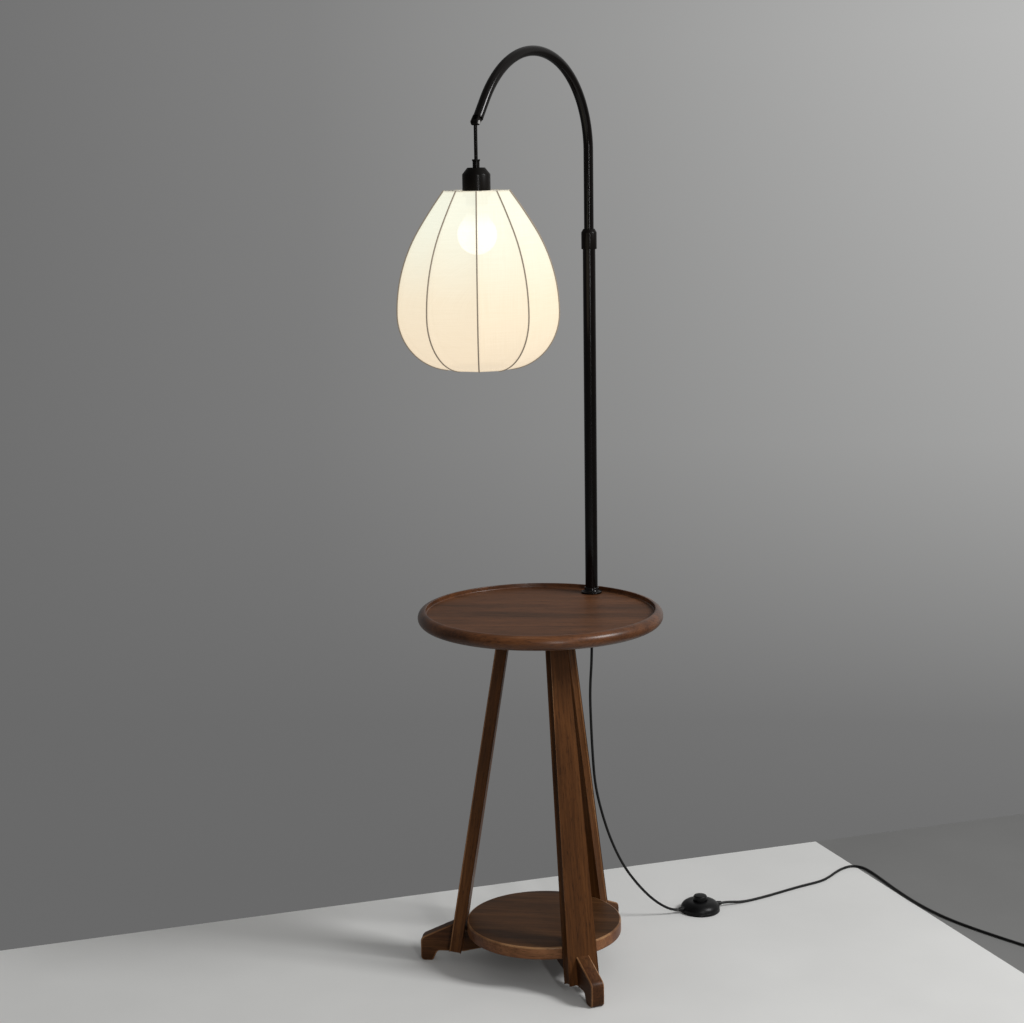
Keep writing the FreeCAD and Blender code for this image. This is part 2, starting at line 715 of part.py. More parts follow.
def makeRod():
    rod = newBody("hanger_rod", y="pivot_y")
    turned(rod, [
        ("rod_bore", "rod_low"),
        ("rod_radius", "rod_low"),
        ("rod_radius", "pivot_z - 3"),
        ("rod_bore", "pivot_z - 3"),
    ])
    padded(rod, circles(rod, "YZ_Plane", [("0", "pivot_z", "4.4")]), "6", both=True)
    pin = circles(rod, "YZ_Plane", [("0", "pivot_z", "2 + running_gap")])
    pocketed(rod, pin, "10", both=True)
    coupler = newBody("rod_coupler", y="pivot_y")
    turned(coupler, [
        ("4", "cup_top"),
        ("5.3", "cup_top"),
        ("5.3", "cup_top + 9.5"),
        ("6", "cup_top + 10"),
        ("6", "cup_top + 12"),
        ("rod_radius", "cup_top + 12"),
        ("rod_radius", "rod_low"),
        ("4", "rod_low"),
    ])
    nipple = newBody("holder_nipple", y="pivot_y")
    turned(nipple, [
        ("2.2", "cup_top - 10"),
        ("4", "cup_top - 10"),
        ("4", "rod_low"),
        ("2.2", "rod_low"),
    ])


def makeHolder():
    cup = newBody("holder_cup", y="pivot_y")
    turned(cup, [
        ("4", "cup_top"),
        ("13", "cup_top"),
        ("cup_radius", "cup_top - 9.5"),
        ("cup_radius", "cup_low"),
        ("cup_radius - cup_wall", "cup_low"),
        ("cup_radius - cup_wall", "cup_top - 10.1"),
        ("12.4", "cup_top - cup_wall"),
        ("4", "cup_top - cup_wall"),
    ])
    holder = newBody("lampholder", y="pivot_y")
    turned(holder, [
        ("4", "cup_top - cup_wall"),
        ("11", "cup_top - cup_wall"),
        ("11", "cup_top - 11"),
        ("18", "cup_top - 11"),
        ("18", "cup_low"),
        ("skirt_radius", "cup_low"),
        ("skirt_radius", "cup_low - 22"),
        ("cap_radius + 0.5", "cup_low - 22"),
        ("cap_radius + 0.5", "cup_low + 12"),
        ("5", "cup_low + 12"),
        ("5", "cup_low + 14"),
        ("2.2", "cup_low + 14"),
        ("2.2", "cup_top - 10"),
        ("4", "cup_top - 10"),
    ])
    contact = newBody("lamp_contact", y="pivot_y")
    turned(contact, [
        ("0", "cup_low + 12"),
        ("5", "cup_low + 12"),
        ("5", "cup_low + 14"),
        ("0", "cup_low + 14"),
    ])
    ring = newBody("shade_ring", y="pivot_y")
    turned(ring, [
        ("skirt_radius", "cup_low - 9"),
        ("cup_radius - 1", "cup_low - 9"),
        ("cup_radius", "cup_low - 8"),
        ("cup_radius", "cup_low - 2"),
        ("skirt_radius", "cup_low - 2"),
    ])


def makeBulb():
    glass = newBody("bulb_glass", y="pivot_y")
    turn = "40 deg"
    turned(glass, [
        ("0", "bulb_mid - bulb_radius"),
        ("bulb_radius * cos(%s)" % turn, "bulb_mid + bulb_radius * sin(%s)" % turn, "bulb_radius", -1),
        ("cap_radius - 0.2", "bulb_mid + 43"),
        ("cap_radius - 0.2", "cup_low - 15"),
        ("cap_radius - 1.2", "cup_low - 15"),
        ("cap_radius - 1.2", "bulb_mid + 43"),
        ("(bulb_radius - 1) * cos(%s)" % turn, "bulb_mid + (bulb_radius - 1) * sin(%s)" % turn),
        ("0", "bulb_mid - bulb_radius + 1", "bulb_radius - 1", 1),
    ])
    cap = newBody("bulb_cap", y="pivot_y")
    turned(cap, [
        ("0", "cup_low - 15"),
        ("cap_radius", "cup_low - 15"),
        ("cap_radius", "cup_low + 7"),
        ("4.5", "cup_low + 10"),
        ("4.5", "cup_low + 12"),
        ("0", "cup_low + 12"),
    ])


def ribArcs(inset, turn):
    """The three arcs of a rib, moved inward by inset, in the direction turn round the shade's axis."""
    middle = size("shade_mid")
    belly = size("shade_belly")
    tuck = size("shade_tuck")
    crown = size("shade_crown")
    split = size("belly_turn")
    bellyCentre = (size("shade_radius") - belly, middle)
    tuckCentre = (size("shade_radius") - tuck, middle)
    crownCentre = (bellyCentre[0] - (crown - belly) * cosine(split),
                   bellyCentre[1] - (crown - belly) * sine(split))
    low = math.degrees(math.asin((size("shade_low") - middle) / tuck))
    high = math.degrees(math.asin((size("shade_top") - crownCentre[1]) / (crown - inset)))

    def point(centre, radius, angle):
        reach = centre[0] + radius * cosine(angle)
        height = centre[1] + radius * sine(angle)
        return V(reach * cosine(turn), size("pivot_y") + reach * sine(turn), height)

    arcs = []
    for centre, radius, first, last in ((tuckCentre, tuck - inset, low, 0),
                                        (bellyCentre, belly - inset, 0, split),
                                        (crownCentre, crown - inset, split, high)):
        stops = [point(centre, radius, angle) for angle in (first, (first + last) / 2, last)]
        arcs.append(Part.Arc(*stops).toShape())
    return arcs


RIB_COUNT = 10
RING_RADIUS = 1.4


def ribTurns():
    return [size("rib_turn") + index * 360 / RIB_COUNT for index in range(RIB_COUNT)]


def makeShadeCover():
    """Ten flat panels between the ribs, open at both ends."""
    faces = []
    rims = {}
    for inset in (0, size("cloth_thick")):
        ribs = [ribArcs(inset, turn) for turn in ribTurns()]
        for rib, nextRib in zip(ribs, ribs[1:] + ribs[:1]):
            faces += [Part.makeRuledSurface(one, other) for one, other in zip(rib, nextRib)]
        for place, pick in (("low", lambda rib: rib[0].firstVertex(True).Point),
                            ("high", lambda rib: rib[2].lastVertex(True).Point)):
            points = [pick(rib) for rib in ribs]
            rims.setdefault(place, []).append(Part.makePolygon(points + points[:1]))
    for outer, inner in rims.values():
        faces += [Part.makeRuledSurface(one, other) for one, other in zip(outer.Edges, inner.Edges)]
    shell = Part.makeShell(faces)
    shell.sewShape()
    shaped("shade_cover", Part.makeSolid(shell))


def makeShadeFrame():
    """Ribs of wire, welded to a ring at each end."""
    inset = size("cloth_thick + wire_radius") + 0.3
    pieces = []
    for height, reach in ((size("shade_top") - RING_RADIUS, topRingReach()), lowRing()):
        centre = V(0, size("pivot_y"), height)
        pieces.append(Part.makeTorus(reach, RING_RADIUS, centre, Z_AXIS))
    for turn in ribTurns():
        path = Part.Wire(ribArcs(inset, turn))
        pieces.append(tubeAlong(path, size("wire_radius")))
    frame = pieces[0].fuse(pieces[1:])
    low = size("shade_low") + 0.05
    trim = Part.makeCylinder(200, size("shade_top") - 0.05 - low, V(0, size("pivot_y"), low), Z_AXIS)
    shaped("shade_frame", frame.common(trim).removeSplitter())


def topRingReach():
    rib = ribArcs(size("cloth_thick + wire_radius") + 0.3, 0)
    return rib[2].lastVertex(True).Point.x - 1.6


def lowRing():
    """Height and radius of the lower ring, on the ribs' ends."""
    end = ribArcs(size("cloth_thick + wire_radius") + 0.3, 0)[0].firstVertex(True).Point
    return end.z + 0.1, end.x - 0.6


def makeGallery():
    """The ring under the lampholder cup and four spokes out to the shade's top ring."""
    body = newBody("shade_gallery", y="pivot_y", turn="45")
    turned(body, [
        ("skirt_radius", "cup_low - 2"),
        ("cup_radius + 2.5", "cup_low - 2"),
        ("cup_radius + 2.5", "cup_low"),
        ("skirt_radius", "cup_low"),
    ])
    reach = "%.2f" % (topRingReach() - RING_RADIUS)
    spoke = circles(body, "YZ_Plane", [("0", "cup_low - 1.2", "1.1")], "cup_radius")
    ringOf(body, [padded(body, spoke, reach + " - cup_radius")], 4)


# ---- flex inside the tubes -----------------------------------------------------------------------

def straightFlex(name, y, radius, low, high):
    body = newBody(name, y=y)
    turned(body, [
        ("0", low),
        (radius, low),
        (radius, high),
        ("0", high),
    ])


SLACK_LOW = "860"


def makeFlex():
    straightFlex("flex_pole", "pole_y", "cord_radius", "stud_end - 8", SLACK_LOW)
    straightFlex("flex_slack", "pole_y", "cord_radius", SLACK_LOW, "arm_low - 8")
    straightFlex("flex_rod", "pivot_y", "rod_bore - 0.1", "cup_low + 14", "pivot_z - 6")
    foot = V(0, size("pole_y"), size("arm_low") - 8)
    last = V(0, size("pole_y"), size("arch_low"))
    edges = [Part.LineSegment(foot, last).toShape()]
    for centre, radius, first, final in archBends():
        start = last
        middle, last = [V(0, centre.x + radius * cosine(angle), centre.y + radius * sine(angle))
                        for angle in ((first + final) / 2, final)]
        edges.append(Part.Arc(start, middle, last).toShape())
    tail = V(0, -sine(size("arch_end")), -cosine(size("arch_end"))) * (size("arch_tail") - FORK_PLUG - 2)
    edges.append(Part.LineSegment(last, last + tail).toShape())
    path = Part.Wire(edges)
    shaped("flex_arm", cordAlong("flex_arm", path, size("cord_radius")))


# ---- foot switch ---------------------------------------------------------------------------------

def switchBody(name):
    return newBody(name, x="switch_x", y="switch_y", turn="switch_turn")


SCREW_TURNS = (90, 210, 330)
POST_REACH = 19


def postPlaces(radius):
    return [("%d * cos(%d deg)" % (POST_REACH, turn), "%d * sin(%d deg)" % (POST_REACH, turn), radius)
            for turn in SCREW_TURNS]


def makeSwitch():
    base = switchBody("switch_base")
    turned(base, [
        ("0", "0"),
        ("switch_radius - 1", "0"),
        ("switch_radius", "1"),
        ("switch_radius - 2.3", "1"),
        ("switch_radius - 2.3", "3"),
        ("0", "3"),
    ])
    pocketed(base, circles(base, "XY_Plane", postPlaces("3"), "0"), "1.6", back=True)
    pocketed(base, circles(base, "XY_Plane", postPlaces("1.4"), "0"), "5", back=True)
    cover = switchBody("switch_cover")
    turned(cover, [
        ("switch_radius - 2", "1"),
        ("switch_radius", "1"),
        ("switch_radius", "5"),
        ("button_radius + 3", "switch_height", "27", -1),
        ("button_radius + 0.5", "switch_height"),
        ("button_radius + 0.5", "button_stop"),
        ("button_radius + 3", "button_stop"),
        ("switch_radius - 2", "5", "25", 1),
    ])
    padded(cover, circles(cover, "XY_Plane", postPlaces("3.2"), "3"), "13.5")
    pocketed(cover, circles(cover, "XY_Plane", postPlaces("1.4"), "3"), "5", back=True)
    through = circles(cover, "YZ_Plane", [("0", "switch_axis", "5")])
    pocketed(cover, through, "3 * switch_radius", both=True)
    screws = switchBody("switch_screws")
    padded(screws, circles(screws, "XY_Plane", postPlaces("3"), "0.6"), "1")
    padded(screws, circles(screws, "XY_Plane", postPlaces("1.4"), "1.6"), "6.4")
    block = switchBody("switch_block")
    box = outline(block, "XY_Plane", [("-9", "-7"), ("9", "-7"), ("9", "7"), ("-9", "7")], "3")
    padded(block, box, "spring_low - 3")
    button = switchBody("switch_button")
    turned(button, [
        ("0", "button_top"),
        ("0", "spring_high"),
        ("8.5", "spring_high"),
        ("8.5", "button_stop - 3.5"),
        ("button_radius + 2", "button_stop - 3.5"),
        ("button_radius + 2", "button_stop"),
        ("button_radius", "button_stop"),
        ("button_radius", "button_top - 2.5"),
        ("button_radius - 2.5", "button_top - 0.5", "2.6", 1),
    ])
    bushes = switchBody("switch_bushes")
    sleeve = circles(bushes, "YZ_Plane", [("0", "switch_axis", "5")], "switch_radius - 8")
    first = padded(bushes, sleeve, "4")
    taper = circles(bushes, "YZ_Plane", [("0", "switch_axis", "5")], "switch_radius - 4")
    second = padded(bushes, taper, "bush_reach - switch_radius + 4")
    second.TaperAngle = -8
    bore = circles(bushes, "YZ_Plane", [("0", "switch_axis", "cord_radius")], "switch_radius - 9")
    third = pocketed(bushes, bore, "bush_reach", back=True)
    ringOf(bushes, [first, second, third], 2)
    wire = 0.4
    low = size("spring_low") + wire
    high = size("spring_high") - wire
    helix = Part.makeHelix((high - low) / 6, high - low, 6)
    section = Part.Wire([Part.Circle(V(6, 0, 0), V(0, 1, 0), wire).toShape()])
    spring = Part.Wire(helix).makePipeShell([section], True, True)
    spring.translate(V(size("switch_x"), size("switch_y"), low))
    shaped("switch_spring", spring)


# ---- mains cord ----------------------------------------------------------------------------------

def switchExit(side, further):
    """A point on the cord's line through the switch, further out than the end of its bush."""
    reach = side * (size("bush_reach") + further)
    turn = size("switch_turn")
    return V(size("switch_x") + reach * cosine(turn), size("switch_y") + reach * sine(turn),
             size("switch_axis"))


COIL_START = V(700, 503, 2.6)
COIL_TURN = -15
COIL_LEAD = 6
PLUG_LEAD = 26
COIL_IN = 12
COIL_OUT = 14


def makeCords():
    upper = [
        V(0, size("pole_y"), size("stud_end") - 8), V(0, size("pole_y"), 494), V(-2.6, 209.3, 432),
        V(-1, 209.8, 372), V(0.8, 211.5, 316), V(4.5, 217.5, 262), V(12, 229, 210),
        V(21.5, 242.5, 158), V(34, 260.5, 108), V(50.5, 284, 66), V(67, 309.7, 30),
        switchExit(-1, 22), switchExit(-1, 0),
    ]
    wire = routeWire("cord_upper", upper)
    shaped("cord_upper", cordAlong("cord_upper", wire, size("cord_radius")))
    back = V(-cosine(COIL_TURN), -sine(COIL_TURN), 0)
    lower = [
        switchExit(1, 0), switchExit(1, 18), V(171, 453, 2.8), V(192, 492, 2.6), V(209, 533, 2.6),
        V(229, 580, 2.6), V(250, 620, 2.6), V(254, 649, 2.6), V(254, 677, 2.6), V(257, 703, 2.6),
        V(269, 725, 2.6), V(293, 730, 2.6), V(318, 713, 2.6), V(351, 682, 2.6), V(392, 643, 2.6),
        V(448, 599, 2.6), V(512, 562, 2.6), V(576, 538, 2.6), COIL_START + back * 62, COIL_START,
    ]
    wire = routeWire("cord_lower", lower)
    shaped("cord_lower", cordAlong("cord_lower", wire, size("cord_radius")))


def coilStops():
    """Where the spare cord is at each quarter turn, and which way it runs there: a flat spiral in,
    half a turn of climb, and a spiral out on top of it."""
    step = size("coil_step") / 4
    heading = FreeCAD.Rotation(Z_AXIS, COIL_TURN)
    centre = COIL_START + heading.multVec(V(COIL_LEAD, size("coil_radius"), 0))
    stops = []
    for quarter in range(COIL_IN + COIL_OUT + 3):
        reach = size("coil_radius") - min(quarter, 2 * COIL_IN + 3 - quarter) * step
        rise = size("coil_rise") * min(max((quarter - COIL_IN) / 2, 0), 1)
        angle = COIL_TURN - 90 + 90 * quarter
        climb = size("coil_rise") / (math.pi * reach) if quarter == COIL_IN + 1 else 0
        way = V(-sine(angle), cosine(angle), climb).normalize()
        stops.append((centre + V(reach * cosine(angle), reach * sine(angle), rise), way))
    return stops


def makeCoil():
    stops = coilStops()
    edges = [Part.LineSegment(COIL_START, stops[0][0]).toShape()]
    for (start, leave), (end, arrive) in zip(stops, stops[1:]):
        edges += biarc(start, leave, end, arrive)
    last, way = stops[-1]
    plugStart = last + way * PLUG_LEAD
    edges.append(Part.LineSegment(last, plugStart).toShape())
    wire = Part.Wire(edges)
    shaped("cord_coil", cordAlong("cord_coil", wire, size("cord_radius")))
    spacing = 3.0
    points = wire.discretize(Distance=spacing)
    apart = int(12 / spacing)
    gap = min(one.distanceToPoint(other) for index, one in enumerate(points)
              for other in points[index + apart:])
    print("cord_coil least gap to itself %.2f" % (gap - 2 * size("cord_radius")))
    return plugStart, way


def makePlug(start, way):
    """Its own X runs from the cord to the pins."""
    turn = math.degrees(math.atan2(way.y, way.x))
    place = FreeCAD.Placement(V(start.x, start.y, 0), FreeCAD.Rotation(Z_AXIS, turn))
    middle = "%.2f" % start.z
    body = newBody("plug_body")
    body.Placement = place
    top = outline(body, "XY_Plane", [
        ("0", "0 - 4"),
        ("plug_length * 0.35", "0 - 6"),
        ("plug_length * 0.75", "0 - plug_width / 2"),
        ("plug_length", "0 - plug_width / 2"),
        ("plug_length", "plug_width / 2"),
        ("plug_length * 0.75", "plug_width / 2"),
        ("plug_length * 0.35", "6"),
        ("0", "4"),
    ])
    padded(body, top, "2 * " + middle)
    rounded(body, "2.5", lambda edge: edge.BoundBox.ZLength < 0.01 and edge.BoundBox.XLength > 5)
    pins = newBody("plug_pins")
    pins.Placement = place
    pair = circles(pins, "YZ_Plane", [(side + "pin_gap / 2", middle, "pin_radius") for side in ("", "0 - ")],
                   "plug_length")
    padded(pins, pair, "pin_gap")


# ---- build, check and export ---------------------------------------------------------------------

makeTray()
for number in range(3):
    makeLeg(number)
    makeFoot(number)
makeShelf()
makeTableFasteners()
makePole()
makeCollar()
makeArmTube()
makeFork()
makePivot()
makeRod()
makeHolder()
makeBulb()
makeShadeCover()
makeShadeFrame()
makeGallery()
makeFlex()
makeSwitch()
makeCords()
makePlug(*makeCoil())
doc.recompute()

for item in doc.Objects:
    if "Invalid" in item.State or "Error" in item.State:
        raise RuntimeError("%s is in state %s" % (item.Name, item.State))

nodes = [item for item in doc.Objects if item.TypeId in ("PartDesign::Body", "Part::Feature")]
for node in nodes:
    if node.Shape.isNull() or not node.Shape.isValid():
        raise RuntimeError("%s has no valid shape" % node.Label)

os.makedirs("parts", exist_ok=True)
whole = FreeCAD.BoundBox()
for node in nodes:
    node.Shape.exportStep("parts/%s.step" % node.Label)
    if not node.Label.startswith(("cord_upper", "cord_lower", "cord_coil", "plug", "switch")):
        whole.add(node.Shape.BoundBox)
print(len(nodes), "nodes")
print("lamp without its cord: x %.1f..%.1f y %.1f..%.1f z %.1f..%.1f" % (
    whole.XMin, whole.XMax, whole.YMin, whole.YMax, whole.ZMin, whole.ZMax))
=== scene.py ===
import math

import bpy
from mathutils import Matrix, Vector


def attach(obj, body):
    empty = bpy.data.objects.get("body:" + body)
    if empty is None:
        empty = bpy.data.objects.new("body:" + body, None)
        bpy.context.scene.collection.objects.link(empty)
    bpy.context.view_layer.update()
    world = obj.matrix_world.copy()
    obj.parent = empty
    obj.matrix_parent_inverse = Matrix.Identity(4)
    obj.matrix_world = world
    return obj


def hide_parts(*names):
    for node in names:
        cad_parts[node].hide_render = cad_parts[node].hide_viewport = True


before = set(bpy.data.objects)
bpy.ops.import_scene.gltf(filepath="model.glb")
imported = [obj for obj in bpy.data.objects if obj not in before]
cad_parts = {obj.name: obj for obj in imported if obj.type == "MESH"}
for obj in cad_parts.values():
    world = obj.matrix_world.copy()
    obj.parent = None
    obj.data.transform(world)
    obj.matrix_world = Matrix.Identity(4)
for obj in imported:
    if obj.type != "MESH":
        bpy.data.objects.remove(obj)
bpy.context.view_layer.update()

scene = bpy.context.scene
print("frame loaded,", len(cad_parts), "nodes")

# Sizes are in millimetres and become metres when a mesh is made. The pole, the tray's centre and
# the shade lie in X = 0, with the pole at +Y.
axisTray = (0, 46.5)
axisPole = (0, 213.5)
axisShade = (0, -121.987)


def link(item):
    scene.collection.objects.link(item)
    return item


def sine(degrees):
    return math.sin(math.radians(degrees))


def cosine(degrees):
    return math.cos(math.radians(degrees))


view = {
    "place": (1.7283, -2.7651, 1.3777),
    "heading": (-0.535, 0.845),
    "pitch": 0.1820,  # radians down
    "roll": -0.0145,
    "focal": 2076.9 / 1024,  # in picture widths
    "sensor": 36.0,
    "clip": (0.05, 60),
}

upright = Vector((0, 0, 1))
forward = Vector((*view["heading"], 0)).normalized() * math.cos(view["pitch"])
forward.z = -math.sin(view["pitch"])
right = Matrix.Rotation(-view["roll"], 3, forward) @ forward.cross(upright).normalized()
camera = link(bpy.data.objects.new("camera", bpy.data.cameras.new("camera")))
camera.data.sensor_width = view["sensor"]
camera.data.lens = view["focal"] * view["sensor"]
camera.data.clip_start, camera.data.clip_end = view["clip"]
axes = Matrix((right, right.cross(forward), -forward)).transposed()
camera.matrix_world = Matrix.Translation(view["place"]) @ axes.to_4x4()
scene.camera = camera
scene.view_settings.view_transform = "Standard"


def linear(code):
    parts = [int(code[i:i + 2], 16) / 255 for i in (1, 3, 5)]
    return [c / 12.92 if c <= 0.04045 else ((c + 0.055) / 1.055) ** 2.4 for c in parts] + [1.0]


def feed(tree, socket, value):
    # value is a number, a colour, a socket, or a node, which links by its first output
    if isinstance(value, bpy.types.Node):
        value = value.outputs[0]
    if isinstance(value, bpy.types.NodeSocket):
        tree.links.new(value, socket)
    else:
        socket.default_value = value


def addNode(tree, kind, inputs=None, stops=None, **settings):
    # stops are the places and colours of a colour ramp
    item = tree.nodes.new(kind)
    for name, value in settings.items():
        setattr(item, name, value)
    for name, value in (inputs or {}).items():
        feed(tree, item.inputs[name], value)
    if stops:
        points = item.color_ramp.elements
        while len(points) < len(stops):
            points.new(0.5)
        for point, (place, code) in zip(points, stops):
            point.position = place
            point.color = linear(code)
    return item


def newMaterial(name, **sockets):
    material = bpy.data.materials.new(name)
    material.use_nodes = True
    tree = material.node_tree
    shader = tree.nodes["Principled BSDF"]
    for label, value in sockets.items():
        feed(tree, shader.inputs[label.replace("_", " ")], value)
    return material, tree, shader


def surfaced(tree, shader, colour, height, depth):
    # the surface takes this colour and a relief up to this deep, in metres
    relief = addNode(tree, "ShaderNodeBump", {"Height": height, "Distance": depth, "Strength": 1.0})
    feed(tree, shader.inputs["Base Color"], colour)
    feed(tree, shader.inputs["Normal"], relief)


def pattern(tree, size, detail=2.0, distortion=0.0, vector=None):
    # Cloudy noise with a cell of this size in millimetres along each axis. It follows the
    # object's place unless another vector is given.
    if vector is None:
        vector = addNode(tree, "ShaderNodeTexCoord").outputs["Object"]
    scaled = addNode(tree, "ShaderNodeMapping", {
        "Vector": vector, "Scale": [1000 / s for s in size]})
    return addNode(tree, "ShaderNodeTexNoise", {
        "Vector": scaled, "Scale": 1.0, "Detail": detail, "Distortion": distortion})


def walnut(name, dark, middle, light, fibreShare, shine, lacquer):
    # Rubberwood stained walnut under satin lacquer: brown bands along the board, fine dark fibres
    # and short pores, and a soft sheen over them.
    material, tree, shader = newMaterial(
        name, Roughness=shine, Coat_Weight=lacquer, Coat_Roughness=0.3, Specular_IOR_Level=0.1)
    grain = addNode(tree, "ShaderNodeAttribute", attribute_name="grain").outputs["Vector"]
    bands = pattern(tree, (420, 46, 46), 3, 0.7, vector=grain)    # figure, about 46 mm across
    fibres = pattern(tree, (70, 3.0, 3.0), 3, vector=grain)       # 3 mm, real ones are finer
    pores = pattern(tree, (16, 1.6, 1.6), 1, vector=grain)        # 1.6 mm, real ones are 0.3 mm
    colour = addNode(tree, "ShaderNodeValToRGB", {"Fac": bands},
                     [(0.32, dark), (0.5, middle), (0.7, light)])
    for marks, share, stops in ((fibres, fibreShare, [(0.34, "#9a9a9a"), (0.6, "#ffffff")]),
                                (pores, 0.5, [(0.3, "#6a6a6a"), (0.4, "#ffffff")])):
        tone = addNode(tree, "ShaderNodeValToRGB", {"Fac": marks}, stops)
        colour = addNode(tree, "ShaderNodeMix", {0: share, 6: colour, 7: tone},
                         data_type="RGBA", blend_type="MULTIPLY").outputs[2]
    surfaced(tree, shader, colour, fibres, 0.0001)
    return material


def paint(name, code, other, roughness, coat, gloss):
    # Powder coat on steel: an even film, with a faint orange peel, drawn at 9 mm to show.
    material, tree, shader = newMaterial(
        name, Roughness=roughness, Coat_Weight=coat, Coat_Roughness=0.16, Specular_IOR_Level=gloss)
    film = addNode(tree, "ShaderNodeValToRGB", {"Fac": pattern(tree, (60, 60, 60))},
                   [(0.3, code), (0.7, other)])
    surfaced(tree, shader, film, pattern(tree, (9, 9, 9), 1), 0.000004)
    return material


def moulded(name, code, other, roughness, gloss, cell=1.2, depth=0.00004):
    # Injection-moulded plastic with a fine spark-eroded texture.
    material, tree, shader = newMaterial(name, Roughness=roughness, Specular_IOR_Level=gloss)
    texture = pattern(tree, (cell, cell, cell))
    speckle = addNode(tree, "ShaderNodeValToRGB", {"Fac": texture}, [(0.35, code), (0.65, other)])
    surfaced(tree, shader, speckle, texture, depth)
    return material


def plated(name, code, other, roughness):
    # Plated or bare metal with faint turning marks.
    material, tree, shader = newMaterial(name, Roughness=roughness, Metallic=1.0)
    marks = pattern(tree, (6, 6, 0.5))
    tone = addNode(tree, "ShaderNodeValToRGB", {"Fac": marks}, [(0.3, code), (0.7, other)])
    surfaced(tree, shader, tone, marks, 0.00001)
    return material


glow = {
    "centre": (0, -0.122, 1.215),  # bulb, in metres, as near and far are
    "near": 0.045,
    "far": 0.235,
    "strength": 0.9,
    "see through": 0.78,  # each of the cloth's two faces
    "cloth": "#746c5c",   # what the cloth adds under the room's light
    "bulb": 5.0,
    "bulb neck": (1.232, 1.256),  # where the glass dims, in metres up
}


def litCloth(name, near, middle, far, strength, alpha):
    # White linen-look polyester lit from inside: a plain weave with a few thick threads. Its glow
    # is painted emission for the bulb's light through the cloth, whitest by the bulb and warmer
    # towards the lower hem, and the cloth lets a little of the bulb through.
    material, tree, shader = newMaterial(
        name, Roughness=0.85, Sheen_Weight=0.15, Specular_IOR_Level=0.2, Alpha=alpha,
        Emission_Strength=strength)
    place = addNode(tree, "ShaderNodeTexCoord").outputs["Object"]
    away = addNode(tree, "ShaderNodeVectorMath", {0: place, 1: glow["centre"]},
                   operation="DISTANCE").outputs["Value"]
    reach = addNode(tree, "ShaderNodeMapRange", {
        "Value": away, "From Min": glow["near"], "From Max": glow["far"]})
    light = addNode(tree, "ShaderNodeValToRGB", {"Fac": reach},
                    [(0.0, near), (0.2, near), (0.55, middle), (1.0, far)])
    weave = addNode(tree, "ShaderNodeUVMap", uv_map="weave")
    warp = pattern(tree, (1.3, 60, 60), vector=weave)  # threads are 0.4 mm, drawn at 1.3 mm to show
    weft = pattern(tree, (60, 1.3, 60), vector=weave)
    thread = addNode(tree, "ShaderNodeMath", {0: warp, 1: weft}, operation="ADD")
    half = addNode(tree, "ShaderNodeMath", {0: thread, 1: 0.5}, operation="MULTIPLY")
    slub = addNode(tree, "ShaderNodeValToRGB", {"Fac": half},
                   [(0.38, "#f4f0ea"), (0.62, "#ffffff")])
    lit, dyed = (addNode(tree, "ShaderNodeMix", {0: share, 6: one, 7: other},
                         data_type="RGBA", blend_type="MULTIPLY").outputs[2]
                 for share, one, other in ((0.3, light, slub), (1.0, slub, linear(glow["cloth"]))))
    feed(tree, shader.inputs["Emission Color"], lit)
    surfaced(tree, shader, dyed, thread, 0.00008)
    return material


def bindingTape(name, code, other, glowCode, strength):
    # Woven tape sewn over each wire. The wire behind it stops the light, so it looks grey-brown:
    # that grey-brown is painted shade, and the tape's faint emission is painted glow of the bulb
    # through it.
    material, tree, shader = newMaterial(
        name, Roughness=0.9, Sheen_Weight=0.1, Specular_IOR_Level=0.1,
        Emission_Color=linear(glowCode), Emission_Strength=strength)
    twill = pattern(tree, (1.6, 1.6, 1.6))
    tone = addNode(tree, "ShaderNodeValToRGB", {"Fac": twill}, [(0.35, code), (0.65, other)])
    surfaced(tree, shader, tone, twill, 0.0001)
    return material


def opalGlass(name, code, strength):
    # Opal glass of a lit bulb: the globe shines and the neck by the cap stays dimmer.
    material, tree, shader = newMaterial(
        name, Roughness=0.25, Coat_Weight=0.5, Base_Color=linear(code), Emission_Strength=strength)
    cloud = addNode(tree, "ShaderNodeValToRGB", {"Fac": pattern(tree, (18, 18, 18), 1)},
                    [(0.3, "#fff6e2"), (0.7, "#fffdf4")])
    place = addNode(tree, "ShaderNodeTexCoord").outputs["Object"]
    height = addNode(tree, "ShaderNodeSeparateXYZ", {0: place}).outputs["Z"]
    low, high = glow["bulb neck"]
    neck = addNode(tree, "ShaderNodeMapRange", {"Value": height, "From Min": low, "From Max": high})
    fade = addNode(tree, "ShaderNodeValToRGB", {"Fac": neck}, [(0.0, "#ffffff"), (1.0, "#4a4844")])
    light = addNode(tree, "ShaderNodeMix", {0: 1.0, 6: cloud, 7: fade},
                    data_type="RGBA", blend_type="MULTIPLY").outputs[2]
    feed(tree, shader.inputs["Emission Color"], light)
    return material


